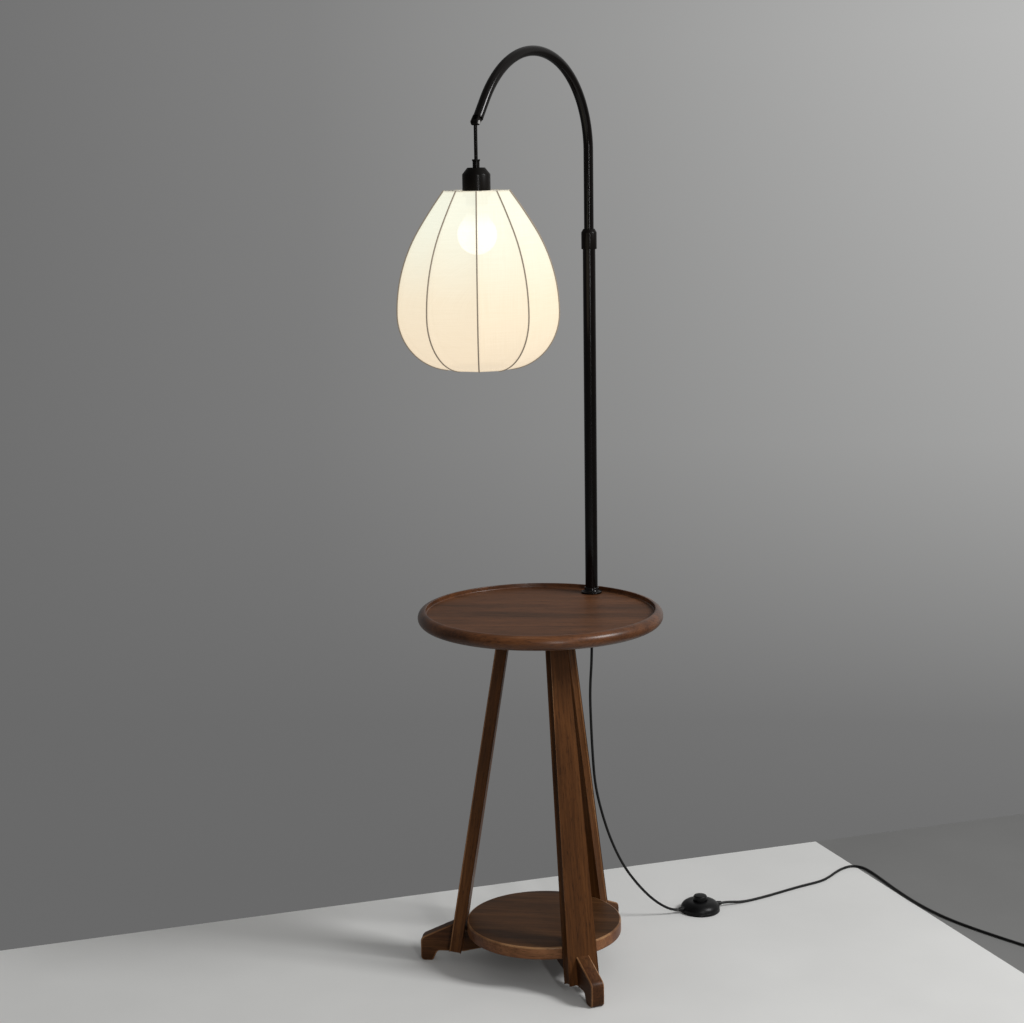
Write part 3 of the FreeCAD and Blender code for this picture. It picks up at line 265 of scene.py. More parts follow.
finish = {
    # the tray's top and rim are one wood in two tones; the difference is painted light on the flat
    # top and the rounded rim
    "boardTop": walnut("walnutStainedBoard", "#4b3221", "#5e3d28", "#70492f", 0.45, 0.5, 0.05),
    "boardRim": walnut("walnutStainedRim", "#412411", "#53311a", "#683f22", 0.5, 0.34, 0.42),
    "leg": walnut("walnutStainedLeg", "#422711", "#583519", "#6c4525", 0.5, 0.42, 0.06),
    "foot": walnut("walnutStainedFoot", "#412816", "#54341f", "#684529", 0.6, 0.44, 0.06),
    # the shelf's top is darker, painted shade under the tray, and its rim lighter, painted light;
    # both are one wood
    "shelf": walnut("walnutStainedShelf", "#3e2713", "#4e321c", "#5e3e24", 0.5, 0.5, 0.03),
    "rim": walnut("walnutStainedShelfRim", "#653d24", "#7c4f32", "#926443", 0.5, 0.4, 0.15),
    # rounded edges in a lighter wood, a painted highlight
    "edge": walnut("walnutPaintedEdgeHighlight", "#6b4528", "#8c6341", "#a98059", 0.35, 0.32, 0.25),
    "pole": paint("blackPowderCoat", "#060403", "#0b0706", 0.22, 0.3, 0.05),
    "cup": paint("blackSatinPowderCoat", "#0a0806", "#0f0c0a", 0.36, 0.1, 0.06),
    "plastic": moulded("blackMouldedABS", "#060606", "#0b0b0c", 0.36, 0.2),
    "sheath": moulded("blackPVCSheath", "#0b0b0b", "#121212", 0.4, 0.25, 3.0, 0.00003),
    "nylon": moulded("naturalNylon", "#c4c0b4", "#d2cec2", 0.5, 0.5),
    "beech": moulded("rawBeechDowel", "#9f7c53", "#b48f63", 0.7, 0.3, 2.0),
    "nickel": plated("brightNickelPlate", "#d6d5d3", "#eceae7", 0.3),
    "zinc": plated("zincPlatedSteel", "#a4a6a6", "#bdbfbe", 0.32),
    "brass": plated("turnedBrass", "#b08a45", "#cda760", 0.28),
    "aluminium": plated("spunAluminium", "#b8b9ba", "#cfd0d0", 0.3),
    "wire": paint("whiteCoatedWire", "#cfc8ba", "#ddd7ca", 0.45, 0.0, 0.4),
    "cloth": litCloth("litLinenCloth", "#fbfdec", "#fceed4", "#fbe6c9",
                      glow["strength"], glow["see through"]),
    # tapes: grey-brown painted shade of the wires, with a painted glow
    "tape": bindingTape("ribBindingTape", "#6a6055", "#80756a", "#c9b9a2", 0.24),
    "hem": bindingTape("hemBindingTape", "#8c7a66", "#a39079", "#e3cdae", 0.34),
    "bulb": opalGlass("litOpalGlass", "#f4efe4", glow["bulb"]),
}
print("materials made,", len(finish))


def newPiece(name, points, faces, materials, kinds=None, grain=None, uv=None, sharp=35):
    # grain is each point's place in its board, and uv its place in the weave
    mesh = bpy.data.meshes.new(name)
    mesh.from_pydata([Vector(p) / 1000 for p in points], [], faces)
    for material in materials:
        mesh.materials.append(material)
    if kinds:
        mesh.polygons.foreach_set("material_index", kinds)
    if grain:
        field = mesh.attributes.new("grain", "FLOAT_VECTOR", "POINT")
        field.data.foreach_set("vector", [c / 1000 for spot in grain for c in spot])
    if uv:
        layer = mesh.uv_layers.new(name="weave")
        for loop in mesh.loops:
            layer.data[loop.index].uv = [c / 1000 for c in uv[loop.vertex_index]]
    mesh.polygons.foreach_set("use_smooth", [True] * len(mesh.polygons))
    mesh.set_sharp_from_angle(angle=math.radians(sharp))
    mesh.validate()
    mesh.update()
    return link(bpy.data.objects.new(name, mesh))


def settle(piece, body, slot, *replaced):
    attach(piece, body)
    if replaced:
        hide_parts(*replaced)


def arcPoints(centre, radius, first, last, steps):
    turns = [first + (last - first) * i / steps for i in range(steps + 1)]
    return [(centre[0] + radius * cosine(t), centre[1] + radius * sine(t)) for t in turns]


def lathe(name, profile, axis, steps, materials, kind=None, grain=None, sharp=35):
    # profile runs (radius, height) anticlockwise in the half plane, so faces point outwards
    points = []
    rows = []
    for radius, height in profile:
        if radius < 1e-6:  # one point on the axis
            rows.append([len(points)] * steps)
            points.append((axis[0], axis[1], height))
            continue
        rows.append(list(range(len(points), len(points) + steps)))
        for i in range(steps):
            turn = 360 * i / steps
            points.append((axis[0] + radius * cosine(turn), axis[1] + radius * sine(turn), height))
    faces = []
    kinds = []
    pairs = list(zip(range(len(rows)), range(1, len(rows))))
    if profile[0][0] > 1e-6 and profile[-1][0] > 1e-6:
        pairs.append((len(rows) - 1, 0))
    for low, high in pairs:
        for i in range(steps):
            j = (i + 1) % steps
            corners = [rows[low][i], rows[low][j], rows[high][j], rows[high][i]]
            corners = [c for k, c in enumerate(corners) if c not in corners[:k]]
            if len(corners) > 2:
                faces.append(corners)
                kinds.append(kind(profile[low], profile[high]) if kind else 0)
    places = [grain(p) for p in points] if grain else None
    return newPiece(name, points, faces, materials, kinds, places, sharp=sharp)


def board(name, outline, thick, rounding, place, materials, grain,
          lowest=-math.inf, highest=math.inf, bothEdges=True):
    # A board cut to an outline, with its edges rounded over. place turns (p, q, r) into the frame.
    # The rounded edges take the second material, a lighter wood that is a painted highlight; the
    # back edges take it only when both edges are asked for.
    count = len(outline)
    steps = 5

    def inset(depth):
        moved = []
        for i, corner in enumerate(outline):
            before = Vector(corner) - Vector(outline[i - 1])
            after = Vector(outline[(i + 1) % count]) - Vector(corner)
            one = Vector((-before.y, before.x)).normalized()
            two = Vector((-after.y, after.x)).normalized()
            both = (one + two) / max(0.4, 1 + one.dot(two))
            moved.append(Vector(corner) + both * depth)
        return moved

    levels = [(thick / 2 - rounding + rounding * sine(90 * i / steps),
               rounding * (1 - cosine(90 * i / steps))) for i in range(steps + 1)]
    loops = [(-r, depth) for r, depth in reversed(levels)] + levels
    spots = [(p.x, p.y, r) for r, depth in loops for p in inset(depth)]
    points = [(x, y, max(min(z, highest), lowest)) for x, y, z in map(place, spots)]
    faces = []
    kinds = []
    for level in range(len(loops) - 1):
        low, high = level * count, (level + 1) * count
        # levels that get the painted highlight
        rounded = level > steps or level < steps and bothEdges
        for i in range(count):
            j = (i + 1) % count
            faces.append([low + i, low + j, high + j, high + i])
            kinds.append(1 if rounded else 0)
    faces.append(list(range(count))[::-1])
    faces.append([(len(loops) - 1) * count + i for i in range(count)])
    kinds += [0, 0]
    return newPiece(name, points, faces, materials, kinds, [grain(c) for c in spots], sharp=40)


def tubeFaces(rings, steps, closed=False):
    # faces between rings of points that turn anticlockwise about the way ahead
    faces = []
    for i in range(rings if closed else rings - 1):
        here, ahead = i * steps, (i + 1) % rings * steps
        for k in range(steps):
            j = (k + 1) % steps
            faces.append([here + k, here + j, ahead + j, ahead + k])
    if not closed:
        faces.append(list(range(steps))[::-1])
        faces.append([(rings - 1) * steps + k for k in range(steps)])
    return faces


def sweep(name, path, radius, steps, material, side=(1, 0, 0), first=0):
    # A round bar along a path in the plane square to side, with its section square to the path.
    side = Vector(side)
    points = []
    for i, stop in enumerate(path):
        ahead, behind = path[min(i + 1, len(path) - 1)], path[max(i - 1, 0)]
        other = (Vector(ahead) - Vector(behind)).normalized().cross(side)
        for k in range(steps):
            turn = first + 360 * k / steps
            points.append(Vector(stop) + (side * cosine(turn) + other * sine(turn)) * radius)
    return newPiece(name, points, tubeFaces(len(path), steps), [material], sharp=50)


cordFacts = {
    "radius": 2.3,
    "switch": (120.3, 383.9),
    "switch turn": 53,
    "switch height": 8,
    "bush end": 41,
    "coil start": (700, 503, 2.6),
    "coil turn": -15,
    "coil lead": 6,
    "coil radius": 37.5,
    "coil step": 6.0,  # from turn to turn
    "coil rise": 5.9,
    "quarters in": 12,
    "quarters out": 14,
    "plug lead": 26,
}


def switchExit(side, further):
    reach = side * (cordFacts["bush end"] + further)
    turn = cordFacts["switch turn"]
    x, y = cordFacts["switch"]
    return (x + reach * cosine(turn), y + reach * sine(turn), cordFacts["switch height"])


def coilPoints():
    # a flat spiral in, a climb of half a turn, and a spiral out on top, 12 points for each turn
    start = Vector(cordFacts["coil start"])
    turn = cordFacts["coil turn"]
    heading = Vector((cosine(turn), sine(turn), 0))
    left = Vector((-heading.y, heading.x, 0))
    centre = start + heading * cordFacts["coil lead"] + left * cordFacts["coil radius"]
    quarters = cordFacts["quarters in"]
    last = quarters + cordFacts["quarters out"] + 2
    found = []
    for third in range(3 * last + 1):
        quarter = third / 3
        inwards = min(quarter, 2 * quarters + 3 - quarter)
        reach = cordFacts["coil radius"] - inwards * cordFacts["coil step"] / 4
        reach /= cosine(15) ** 0.75  # the line runs a little inside its points
        rise = cordFacts["coil rise"] * min(max((quarter - quarters) / 2, 0), 1)
        angle = turn - 90 + 90 * quarter
        found.append(centre + Vector((reach * cosine(angle), reach * sine(angle), rise)))
    return found, heading


def smoothCord(name, points):
    curve = bpy.data.curves.new(name, "CURVE")
    curve.dimensions = "3D"
    spline = curve.splines.new("NURBS")
    spline.points.add(len(points) - 1)
    for point, place in zip(spline.points, points):
        point.co = (*(Vector(place) / 1000), 1)
    spline.order_u = 3
    spline.use_endpoint_u = True
    spline.resolution_u = 12
    curve.bevel_depth = cordFacts["radius"] / 1000
    curve.bevel_resolution = 5
    curve.use_fill_caps = True
    curve.materials.append(finish["sheath"])
    return link(bpy.data.objects.new(name, curve))


upperRoute = [
    (0, 213.5, 552), (0, 213.5, 494), (-2.6, 209.3, 432), (-1, 209.8, 372), (0.8, 211.5, 316),
    (2.4, 216.2, 262), (9, 227, 210), (18.8, 240.8, 158), (32.6, 259.6, 108), (50, 284, 66),
    (68, 310, 32), switchExit(-1, 14), switchExit(-1, 0),
]
coilRoute, coilHeading = coilPoints()
coilStart = Vector(cordFacts["coil start"])
lowerRoute = [
    switchExit(1, 0), switchExit(1, 14), (170, 452, 2.6), (192, 492, 2.6), (209, 533, 2.6),
    (229, 580, 2.6), (250, 620, 2.6), (254, 649, 2.6), (254, 677, 2.6), (257, 703, 2.6),
    (266, 724, 2.6), (287, 727, 2.6), (313, 710, 2.6), (348, 680, 2.6), (391, 643, 2.6),
    (448, 599, 2.6), (512, 562, 2.6), (576, 538, 2.6), coilStart - coilHeading * 62, coilStart,
    *coilRoute, coilRoute[-1] + coilHeading * cordFacts["plug lead"],
]
upperCord = smoothCord("mainsCordUpper", upperRoute)
lowerCord = smoothCord("mainsCordLower", lowerRoute)
settle(upperCord, "stand", "black_cord", "cord_upper")
settle(lowerCord, "stand", "black_cord", "cord_lower", "cord_coil")
print("cords made")


tray = {
    "radius": 200, "top": 610, "thick": 24, "rim": 13, "rim edge": 1, "recess": 7.5, "lip": 2,
    "grain": 30, "grain start": 300, "steps": 256,
}
shelf = {
    "radius": 129, "top": 76.8, "thick": 21, "round": 2.6,
    "grain": 24, "grain start": 900, "steps": 192,
}


def flatGrain(plate):
    turn, start = plate["grain"], plate["grain start"]

    def place(p):
        along = p[0] * cosine(turn) + p[1] * sine(turn)
        across = p[1] * cosine(turn) - p[0] * sine(turn)
        return (along + start, across + start, p[2])
    return place


def makeTray():
    top, lip, edge, half = tray["top"], tray["lip"], tray["rim edge"], tray["thick"] / 2
    inner = tray["radius"] - tray["rim"]
    low, floor = top - tray["thick"], top - tray["recess"]
    profile = [(r, low) for r in (0, 60, 150)]
    profile += arcPoints((tray["radius"] - half, top - half), half, -90, 90, 20)
    profile += arcPoints((inner + edge, top - edge), edge, 90, 180, 4)
    profile += arcPoints((inner - lip, floor + lip), lip, 0, -90, 5)
    profile += [(r, floor) for r in (160, 120, 80, 40, 0)]

    def kind(one, other):
        near = 0.01
        # the recess floor takes the top's tone, the rest the rim's: two tones of painted light on
        # one wood
        flat = min(one[1], other[1]) > floor - near and other[1] < floor + near
        return 0 if flat and other[0] < inner - lip + near else 1

    piece = lathe("trayTop", profile, axisTray, tray["steps"],
                  [finish["boardTop"], finish["boardRim"]], kind, flatGrain(tray))
    settle(piece, "stand", "walnut", "tray_top")


def makeShelf():
    top, edge = shelf["top"], shelf["round"]
    low, flat = top - shelf["thick"], shelf["radius"] - edge
    profile = [(r, low) for r in (0, 70)]
    profile += arcPoints((flat, low + edge), edge, -90, 0, 5)
    profile += arcPoints((flat, top - edge), edge, 0, 90, 5)
    profile += [(r, top) for r in (100, 66, 33, 0)]

    def kind(one, other):
        near = 0.01
        # flat faces take the darker tone, painted shade under the tray
        if max(one[0], other[0]) < flat + near:
            return 0
        # the rim takes the lighter tone, painted light, and its upper rounded edge the painted
        # highlight
        return 2 if min(one[1], other[1]) > top - edge - near else 1

    piece = lathe("lowerShelf", profile, axisTray, shelf["steps"],
                  [finish["shelf"], finish["rim"], finish["edge"]], kind, flatGrain(shelf))
    settle(piece, "stand", "walnut", "shelf")


makeTray()
makeShelf()
print("tray and shelf made")


leg = {
    "turn": 85.5, "top reach": 57.1, "foot reach": 148.2, "high": 586, "low": 21.5, "thick": 20,
    "top width": 25, "foot width": 51, "width from": 587, "slot": 66, "slot width": 23.1,
    "past top": 3, "round": 2.0,
}
foot = {
    "start": 42, "start depth": 16, "step": 131, "ridge": 153, "nose": 208.5, "slot": 66,
    "shelf": 55.8, "width": 23, "round": 2.2, "arch": 17.5, "arch start": (109, 23.5),
    "arch line": 135, "arch end": 32.8, "arch round": 6.5, "heel": 17, "heel round": 5.5,
    "toe round": 7, "brow": 32.5, "brow round": 11.5, "brow turn": 62,
}
legNames = ("back", "left", "right")


def footOutline():
    nose, arch, start, step, seat = (foot[k] for k in ("nose", "arch", "start", "step", "shelf"))
    hollow, heel, toe, brow = (foot[k + " round"] for k in ("arch", "heel", "toe", "brow"))
    line = [(start, seat), (start, seat - foot["start depth"]), foot["arch start"],
            (foot["arch line"], arch)]
    line += arcPoints((nose - foot["arch end"], arch - hollow), hollow, 90, 25, 5)
    line += arcPoints((nose - foot["heel"], heel), heel, 205, 270, 5)
    line += arcPoints((nose - toe, toe), toe, -90, 0, 6)
    line += arcPoints((nose - brow, foot["brow"]), brow, 0, foot["brow turn"], 6)
    line += [(foot["ridge"], foot["slot"]), (step, foot["slot"]), (step, seat)]
    return line


def makeLegAndFoot(index):
    turn = leg["turn"] + 120 * index
    drop = leg["high"] - leg["low"]
    lean = math.degrees(math.atan((leg["foot reach"] - leg["top reach"]) / drop))
    length = drop / cosine(lean)
    ceiling = (leg["high"] - leg["slot"]) / cosine(lean)

    def outward(x, y, z):
        return (axisTray[0] + x * cosine(turn) - y * sine(turn),
                axisTray[1] + x * sine(turn) + y * cosine(turn), z)

    def placeLeg(c):
        # p across the leg, q down its slope from the top, r outward from its middle plane
        x = leg["top reach"] + c[1] * sine(lean) + c[2] * cosine(lean)
        z = leg["high"] - c[1] * cosine(lean) + c[2] * sine(lean)
        return outward(x, c[0], z)

    def placeFoot(c):
        return outward(c[0], -c[2], c[1])

    def halfWidth(q):
        down = leg["width from"] - leg["high"] + q * cosine(lean)
        spread = (leg["foot width"] - leg["top width"]) * down / leg["width from"]
        return (leg["top width"] + spread) / 2

    begin, slot = -leg["past top"], leg["slot width"] / 2
    side = [(slot, ceiling), (slot, length), (halfWidth(length), length), (halfWidth(begin), begin)]
    outline = side + [(-p, q) for p, q in reversed(side)]
    # legs carry the painted highlight on their front edges only
    piece = board("leg" + legNames[index].capitalize(), outline, leg["thick"], leg["round"],
                  placeLeg, [finish["leg"], finish["edge"]],
                  lambda c: (c[1] + 700 * index, c[0] + 90 * index, c[2]),
                  highest=leg["high"], bothEdges=False)
    settle(piece, "stand", "walnut", "leg_" + legNames[index])
    piece = board("foot" + legNames[index].capitalize(), footOutline(), foot["width"],
                  foot["round"], placeFoot, [finish["foot"], finish["edge"]],
                  lambda c: (c[0] + 500 * index, c[1] + 150, c[2]), lowest=0)
    settle(piece, "stand", "walnut", "foot_" + legNames[index])


for index in range(len(legNames)):
    makeLegAndFoot(index)
print("legs and feet made")


pole = {"radius": 10.5, "wall": 1.5, "edge": 0.4, "seat": 606.5, "top": 1203}
flange = {
    "radius": 17.5, "bore": 6, "low": 602.5, "height": 10.5, "edge": 0.3, "bead": 1,
    "bead height": 2.2, "cove": 4.9, "cove height": 7.6, "lip": 1.5,
}
collar = {
    "radius": 12.75, "low": 1182, "high": 1215, "bevel": 5.5, "round": 0.8, "bore": 10.55,
    "step": 1210, "mouth": 8.3, "mouth depth": 1.5, "top": 9.7,
}
arm = {
    "radius": 8, "low": 970, "arch low": 1340, "first": 155.5, "turn": 67, "second": 177.3,
    "end": 35.4, "tail": 32,
}


def makePole():
    radius, seat, top = (pole[k] for k in ("radius", "seat", "top"))
    wide, low, edge, bead = (flange[k] for k in ("radius", "low", "edge", "bead"))
    high, lip, fit = low + flange["height"], radius + flange["lip"], radius + 0.02
    profile = [(flange["bore"], low), (wide - edge, low), (wide, low + edge)]
    profile += arcPoints((wide - bead, low + flange["bead height"]), bead, 0, 90, 5)
    profile += arcPoints((wide - 0.6, low + flange["cove height"]), flange["cove"], 260, 192, 7)
    profile += [(lip, high - 1.2), (lip - 0.2, high - 0.6), (radius + 0.2, high), (fit, high),
                (fit, seat), (flange["bore"], seat)]
    settle(lathe("poleFlange", profile, axisPole, 96, [finish["pole"]], sharp=45),
           "stand", "black_steel", "pole_flange")
    inner, edge = radius - pole["wall"], pole["edge"]
    tube = [(inner, seat), (radius - edge, seat), (radius, seat + edge), (radius, top - edge),
            (radius - edge, top), (inner, top)]
    settle(lathe("poleLower", tube, axisPole, 96, [finish["pole"]]),
           "stand", "black_steel", "pole_lower")


def makeCollar():
    radius, low, high, bevel = (collar[k] for k in ("radius", "low", "high", "bevel"))
    edge, mouth, top = (collar[k] for k in ("round", "mouth", "top"))
    profile = [(collar["bore"], low)] + arcPoints((radius - edge, low + edge), edge, -90, 0, 4)
    profile += [(radius, high - bevel - 0.5), (radius - 0.15, high - bevel), (top, high - 0.4),
                (top - 0.5, high), (mouth, high), (mouth, high - collar["mouth depth"]),
                (collar["bore"], collar["step"])]
    settle(lathe("clampCollar", profile, axisPole, 96, [finish["cup"]]),
           "collar_body", "black_steel", "collar")


def armLine():
    # straight up, two bends that meet smoothly, and a straight tail to the fork
    y, z = axisPole[1], arm["arch low"]
    first, second, turn = arm["first"], arm["second"], arm["turn"]
    line = [(0, y, arm["low"] + (z - arm["low"]) * i / 30) for i in range(31)]
    centre = Vector((y - first, z))
    line += [(0, *p) for p in arcPoints(centre, first, 0, turn, 70)[1:]]
    centre += Vector((cosine(turn), sine(turn))) * (first - second)
    line += [(0, *p) for p in arcPoints(centre, second, turn, 180 - arm["end"], 100)[1:]]
    bend = Vector(line[-1])
    way = Vector((0, -sine(arm["end"]), -cosine(arm["end"])))
    return line + [bend + way * (arm["tail"] * i / 8) for i in range(1, 9)]


makePole()
makeCollar()
settle(sweep("archTube", armLine(), arm["radius"], 64, finish["pole"]),
       "arm", "black_steel", "arm_tube")
print("pole and arm made")


cup = {
    "top": 1322, "low": 1288, "radius": 21.3, "flat": 13, "bevel": 9.5, "wall": 1.5, "edge": 0.3,
    "bore": 4, "inner flat": 12.4, "inner bevel": 10.1,
}
coupler = {"bore": 2.75, "radius": 5.3, "bead": 6.2, "neck": 9.2, "height": 12.2, "edge": 0.3}
bulb = {"middle": 1222, "radius": 30, "neck": 13, "neck high": 1273, "neck length": 6, "waist": 3.4}


def makeCup():
    top, low, radius, flat, bevel, wall, edge, bore = (
        cup[k] for k in ("top", "low", "radius", "flat", "bevel", "wall", "edge", "bore"))
    profile = [(radius - wall, low), (radius - edge, low), (radius, low + edge),
               (radius, top - bevel - 0.8), (radius - 0.25, top - bevel), (flat + 0.6, top - edge),
               (flat - 0.4, top), (bore, top), (bore, top - wall), (cup["inner flat"], top - wall),
               (radius - wall, top - cup["inner bevel"])]
    settle(lathe("holderCup", profile, axisShade, 96, [finish["cup"]], sharp=28),
           "head", "black_steel", "holder_cup")


def makeCoupler():
    bore, radius, bead, edge = (coupler[k] for k in ("bore", "radius", "bead", "edge"))
    low = cup["top"]
    neck, high = low + coupler["neck"], low + coupler["height"]
    profile = [(bore, low), (radius - edge, low), (radius, low + edge), (radius, neck),
               (bead - edge, neck + 0.6), (bead, neck + 1.1), (bead, high - 0.5),
               (bead - edge, high), (bore, high)]
    settle(lathe("rodCoupler", profile, axisShade, 64, [finish["cup"]]),
           "head", "black_steel", "rod_coupler")


def makeBulb():
    middle, radius, neck, high = (bulb[k] for k in ("middle", "radius", "neck", "neck high"))
    outer = [(0, middle - radius)] + arcPoints((0, middle), radius, -84, 36, 30)
    start = Vector(outer[-1])
    end = Vector((neck, high - bulb["neck length"]))
    for i in range(1, 9):
        t = i / 9
        bend = start.lerp(end, t)
        bend.x -= bulb["waist"] * sine(180 * t) * (1 - 0.3 * t)
        outer.append(tuple(bend))
    outer += [tuple(end), (neck, high), (0, high)]
    settle(lathe("bulbGlass", outer, axisShade, 96, [finish["bulb"]], sharp=60),
           "head", "opal_glass", "bulb_glass")


makeCup()
makeCoupler()
makeBulb()
print("lampholder cup and bulb made")


shade = {
    "top": 1288, "middle": 1106.8, "low": 1019.6, "radius": 127.9, "belly": 232.9, "tuck": 87.8,
    "crown": 736.7, "belly turn": 32.46, "first rib": -57.5, "panels": 10, "thick": 0.8,
    "sag": 1.4, "columns": 14, "tape": 1.15, "tape out": 0.15, "hem": 1.5, "upper hem": 0.55,
    "hem flat": 0.7, "hem in": 0.4,
}


def ribLine(inset, steps=(34, 26, 34)):
    # (reach, height) from the lower hem up: the tuck, the belly and the straight crown
    belly = (shade["radius"] - shade["belly"], shade["middle"])
    tuck = (shade["radius"] - shade["tuck"], shade["middle"])
    split = shade["belly turn"]
    crown = (belly[0] - (shade["crown"] - shade["belly"]) * cosine(split),
             belly[1] - (shade["crown"] - shade["belly"]) * sine(split))
    low = math.degrees(math.asin((shade["low"] - shade["middle"]) / shade["tuck"]))
    high = math.degrees(math.asin((shade["top"] - crown[1]) / (shade["crown"] - inset)))
    line = arcPoints(tuck, shade["tuck"] - inset, low, 0, steps[0])
    line += arcPoints(belly, shade["belly"] - inset, 0, split, steps[1])[1:]
    line += arcPoints(crown, shade["crown"] - inset, split, high, steps[2])[1:]
    return line


def panelSpot(reach, index, columns):
    # a point on the straight line from rib to rib, and its share of the way across the panel
    panel, part = divmod(index, columns)
    turn, step, t = shade["first rib"], 360 / shade["panels"], part / columns
    start, end = (Vector((reach * cosine(a), reach * sine(a)))
                  for a in (turn + panel * step, turn + (panel + 1) * step))
    return start.lerp(end, t), t


def makeCloth():
    columns, panels = shade["columns"], shade["panels"]
    count = columns * panels
    rows = len(ribLine(0))
    points = []
    uv = []
    for inset in (0, shade["thick"]):
        line = ribLine(inset)
        run = 0
        for k, (reach, height) in enumerate(line):
            if k:
                run += math.dist(line[k - 1], line[k])
            hold = sine(180 * k / (rows - 1)) ** 0.5  # hems hold the cloth straight
            for i in range(count):
                spot, t = panelSpot(reach, i, columns)
                spot -= spot.normalized() * shade["sag"] * 4 * t * (1 - t) * hold
                points.append((axisShade[0] + spot.x, axisShade[1] + spot.y, height))
                uv.append((reach * math.radians(360 * i / count), run))
    faces = []
    inner = rows * count
    for i in range(count):
        j = (i + 1) % count
        for k in range(rows - 1):
            a, b, c, d = k * count + i, k * count + j, (k + 1) * count + j, (k + 1) * count + i
            faces += [[a, b, c, d], [d + inner, c + inner, b + inner, a + inner]]
        a, b = (rows - 1) * count + i, (rows - 1) * count + j
        faces += [[j, i, i + inner, j + inner], [a, b, b + inner, a + inner]]
    piece = newPiece("shadeCloth", points, faces, [finish["cloth"]], uv=uv, sharp=70)
    settle(piece, "head", "shade_cloth", "shade_cover")
    line = ribLine(0)
    chord = sine(180 / panels) * panels
    run = sum(math.dist(a, b) for a, b in zip(line, line[1:]))
    area = sum(math.dist(a, b) * (a[0] + b[0]) * chord for a, b in zip(line, line[1:]))


def ringTree(name, material):
    # Copies of a piece round an upright axis, evenly spaced.
    tree = bpy.data.node_groups.new(name, "GeometryNodeTree")
    for label, way, kind in (("Geometry", "INPUT", "Geometry"), ("Count", "INPUT", "Int"),
                             ("First Turn", "INPUT", "Float"), ("Centre", "INPUT", "Vector"),
                             ("Geometry", "OUTPUT", "Geometry")):
        tree.interface.new_socket(label, in_out=way, socket_type="NodeSocket" + kind)
    given = addNode(tree, "NodeGroupInput").outputs
    spots = addNode(tree, "GeometryNodeMeshLine", {
        "Count": given["Count"], "Start Location": given["Centre"], "Offset": (0, 0, 0)})
    step = addNode(tree, "ShaderNodeMath", {0: 2 * math.pi, 1: given["Count"]}, operation="DIVIDE")
    index = addNode(tree, "GeometryNodeInputIndex")
    turn = addNode(tree, "ShaderNodeMath", {0: index, 1: step, 2: given["First Turn"]},
                   operation="MULTIPLY_ADD")
    about = addNode(tree, "ShaderNodeCombineXYZ", {"Z": turn})
    copies = addNode(tree, "GeometryNodeInstanceOnPoints", {
        "Points": spots, "Instance": given["Geometry"], "Rotation": about})
    real = addNode(tree, "GeometryNodeRealizeInstances", {"Geometry": copies})
    dressed = addNode(tree, "GeometryNodeSetMaterial", {"Geometry": real, "Material": material})
    addNode(tree, "NodeGroupOutput", {"Geometry": dressed})
    return tree


def ringOf(piece, tree, **values):
    modifier = piece.modifiers.new("ring", "NODES")
    modifier.node_group = tree
    for item in tree.interface.items_tree:
        if item.in_out == "INPUT" and item.name in values:
            modifier[item.identifier] = values[item.name]
    bpy.context.view_layer.update()
    whole = piece.evaluated_get(bpy.context.evaluated_depsgraph_get())
    mesh = bpy.data.meshes.new_from_object(whole)
    piece.modifiers.remove(modifier)
    piece.data = mesh


def makeRibs():
    line = [(reach + shade["tape out"], 0, height) for reach, height in ribLine(0, (18, 12, 12))]
    piece = sweep("ribBindings", line, shade["tape"], 10, finish["tape"], (0, 1, 0), -90)
    ringOf(piece, ringTree("ribs round the shade", finish["tape"]), **{
        "Count": shade["panels"], "First Turn": math.radians(shade["first rib"]),
        "Centre": [c / 1000 for c in (*axisShade, 0)]})
    settle(piece, "head", "shade_cloth")


def makeHem(name, reach, middle, thick):
    # a flattened roll of tape along the panels' straight edges
    columns, steps = 8, 10
    count = shade["panels"] * columns
    points = []
    for i in range(count):
        spot = panelSpot(reach, i, columns)[0]
        out = spot.normalized()
        for k in range(steps):
            turn = -360 * k / steps
            place = spot + out * (thick * shade["hem flat"] * cosine(turn) - shade["hem in"])
            points.append((axisShade[0] + place.x, axisShade[1] + place.y,
                           middle + thick * sine(turn)))
    piece = newPiece(name, points, tubeFaces(count, steps, True), [finish["hem"]], sharp=60)
    settle(piece, "head", "shade_cloth")


makeCloth()
makeRibs()
for name, (reach, height), thick, way in (
        ("hemLow", ribLine(0)[0], shade["hem"], 1),
        ("hemHigh", ribLine(0)[-1], shade["hem"] * shade["upper hem"], -1)):
    makeHem(name, reach, height + way * thick, thick)
print("shade made")


footSwitch = {
    "radius": 35, "height": 19.5, "wall": 2.3, "floor": 3, "curve": 0.92, "gap": 0.5,
    "button": 12, "button top": 29.5, "button round": 2.6, "button bore": (8.5, 20), "skirt": 3.1,
}


def domeLine(rim, mouth, low, rise, turns):
    # the cover's crown, a little squarer than an ellipse
    return [(mouth + (rim - mouth) * cosine(a) ** footSwitch["curve"], low + rise * sine(a))
            for a in turns]


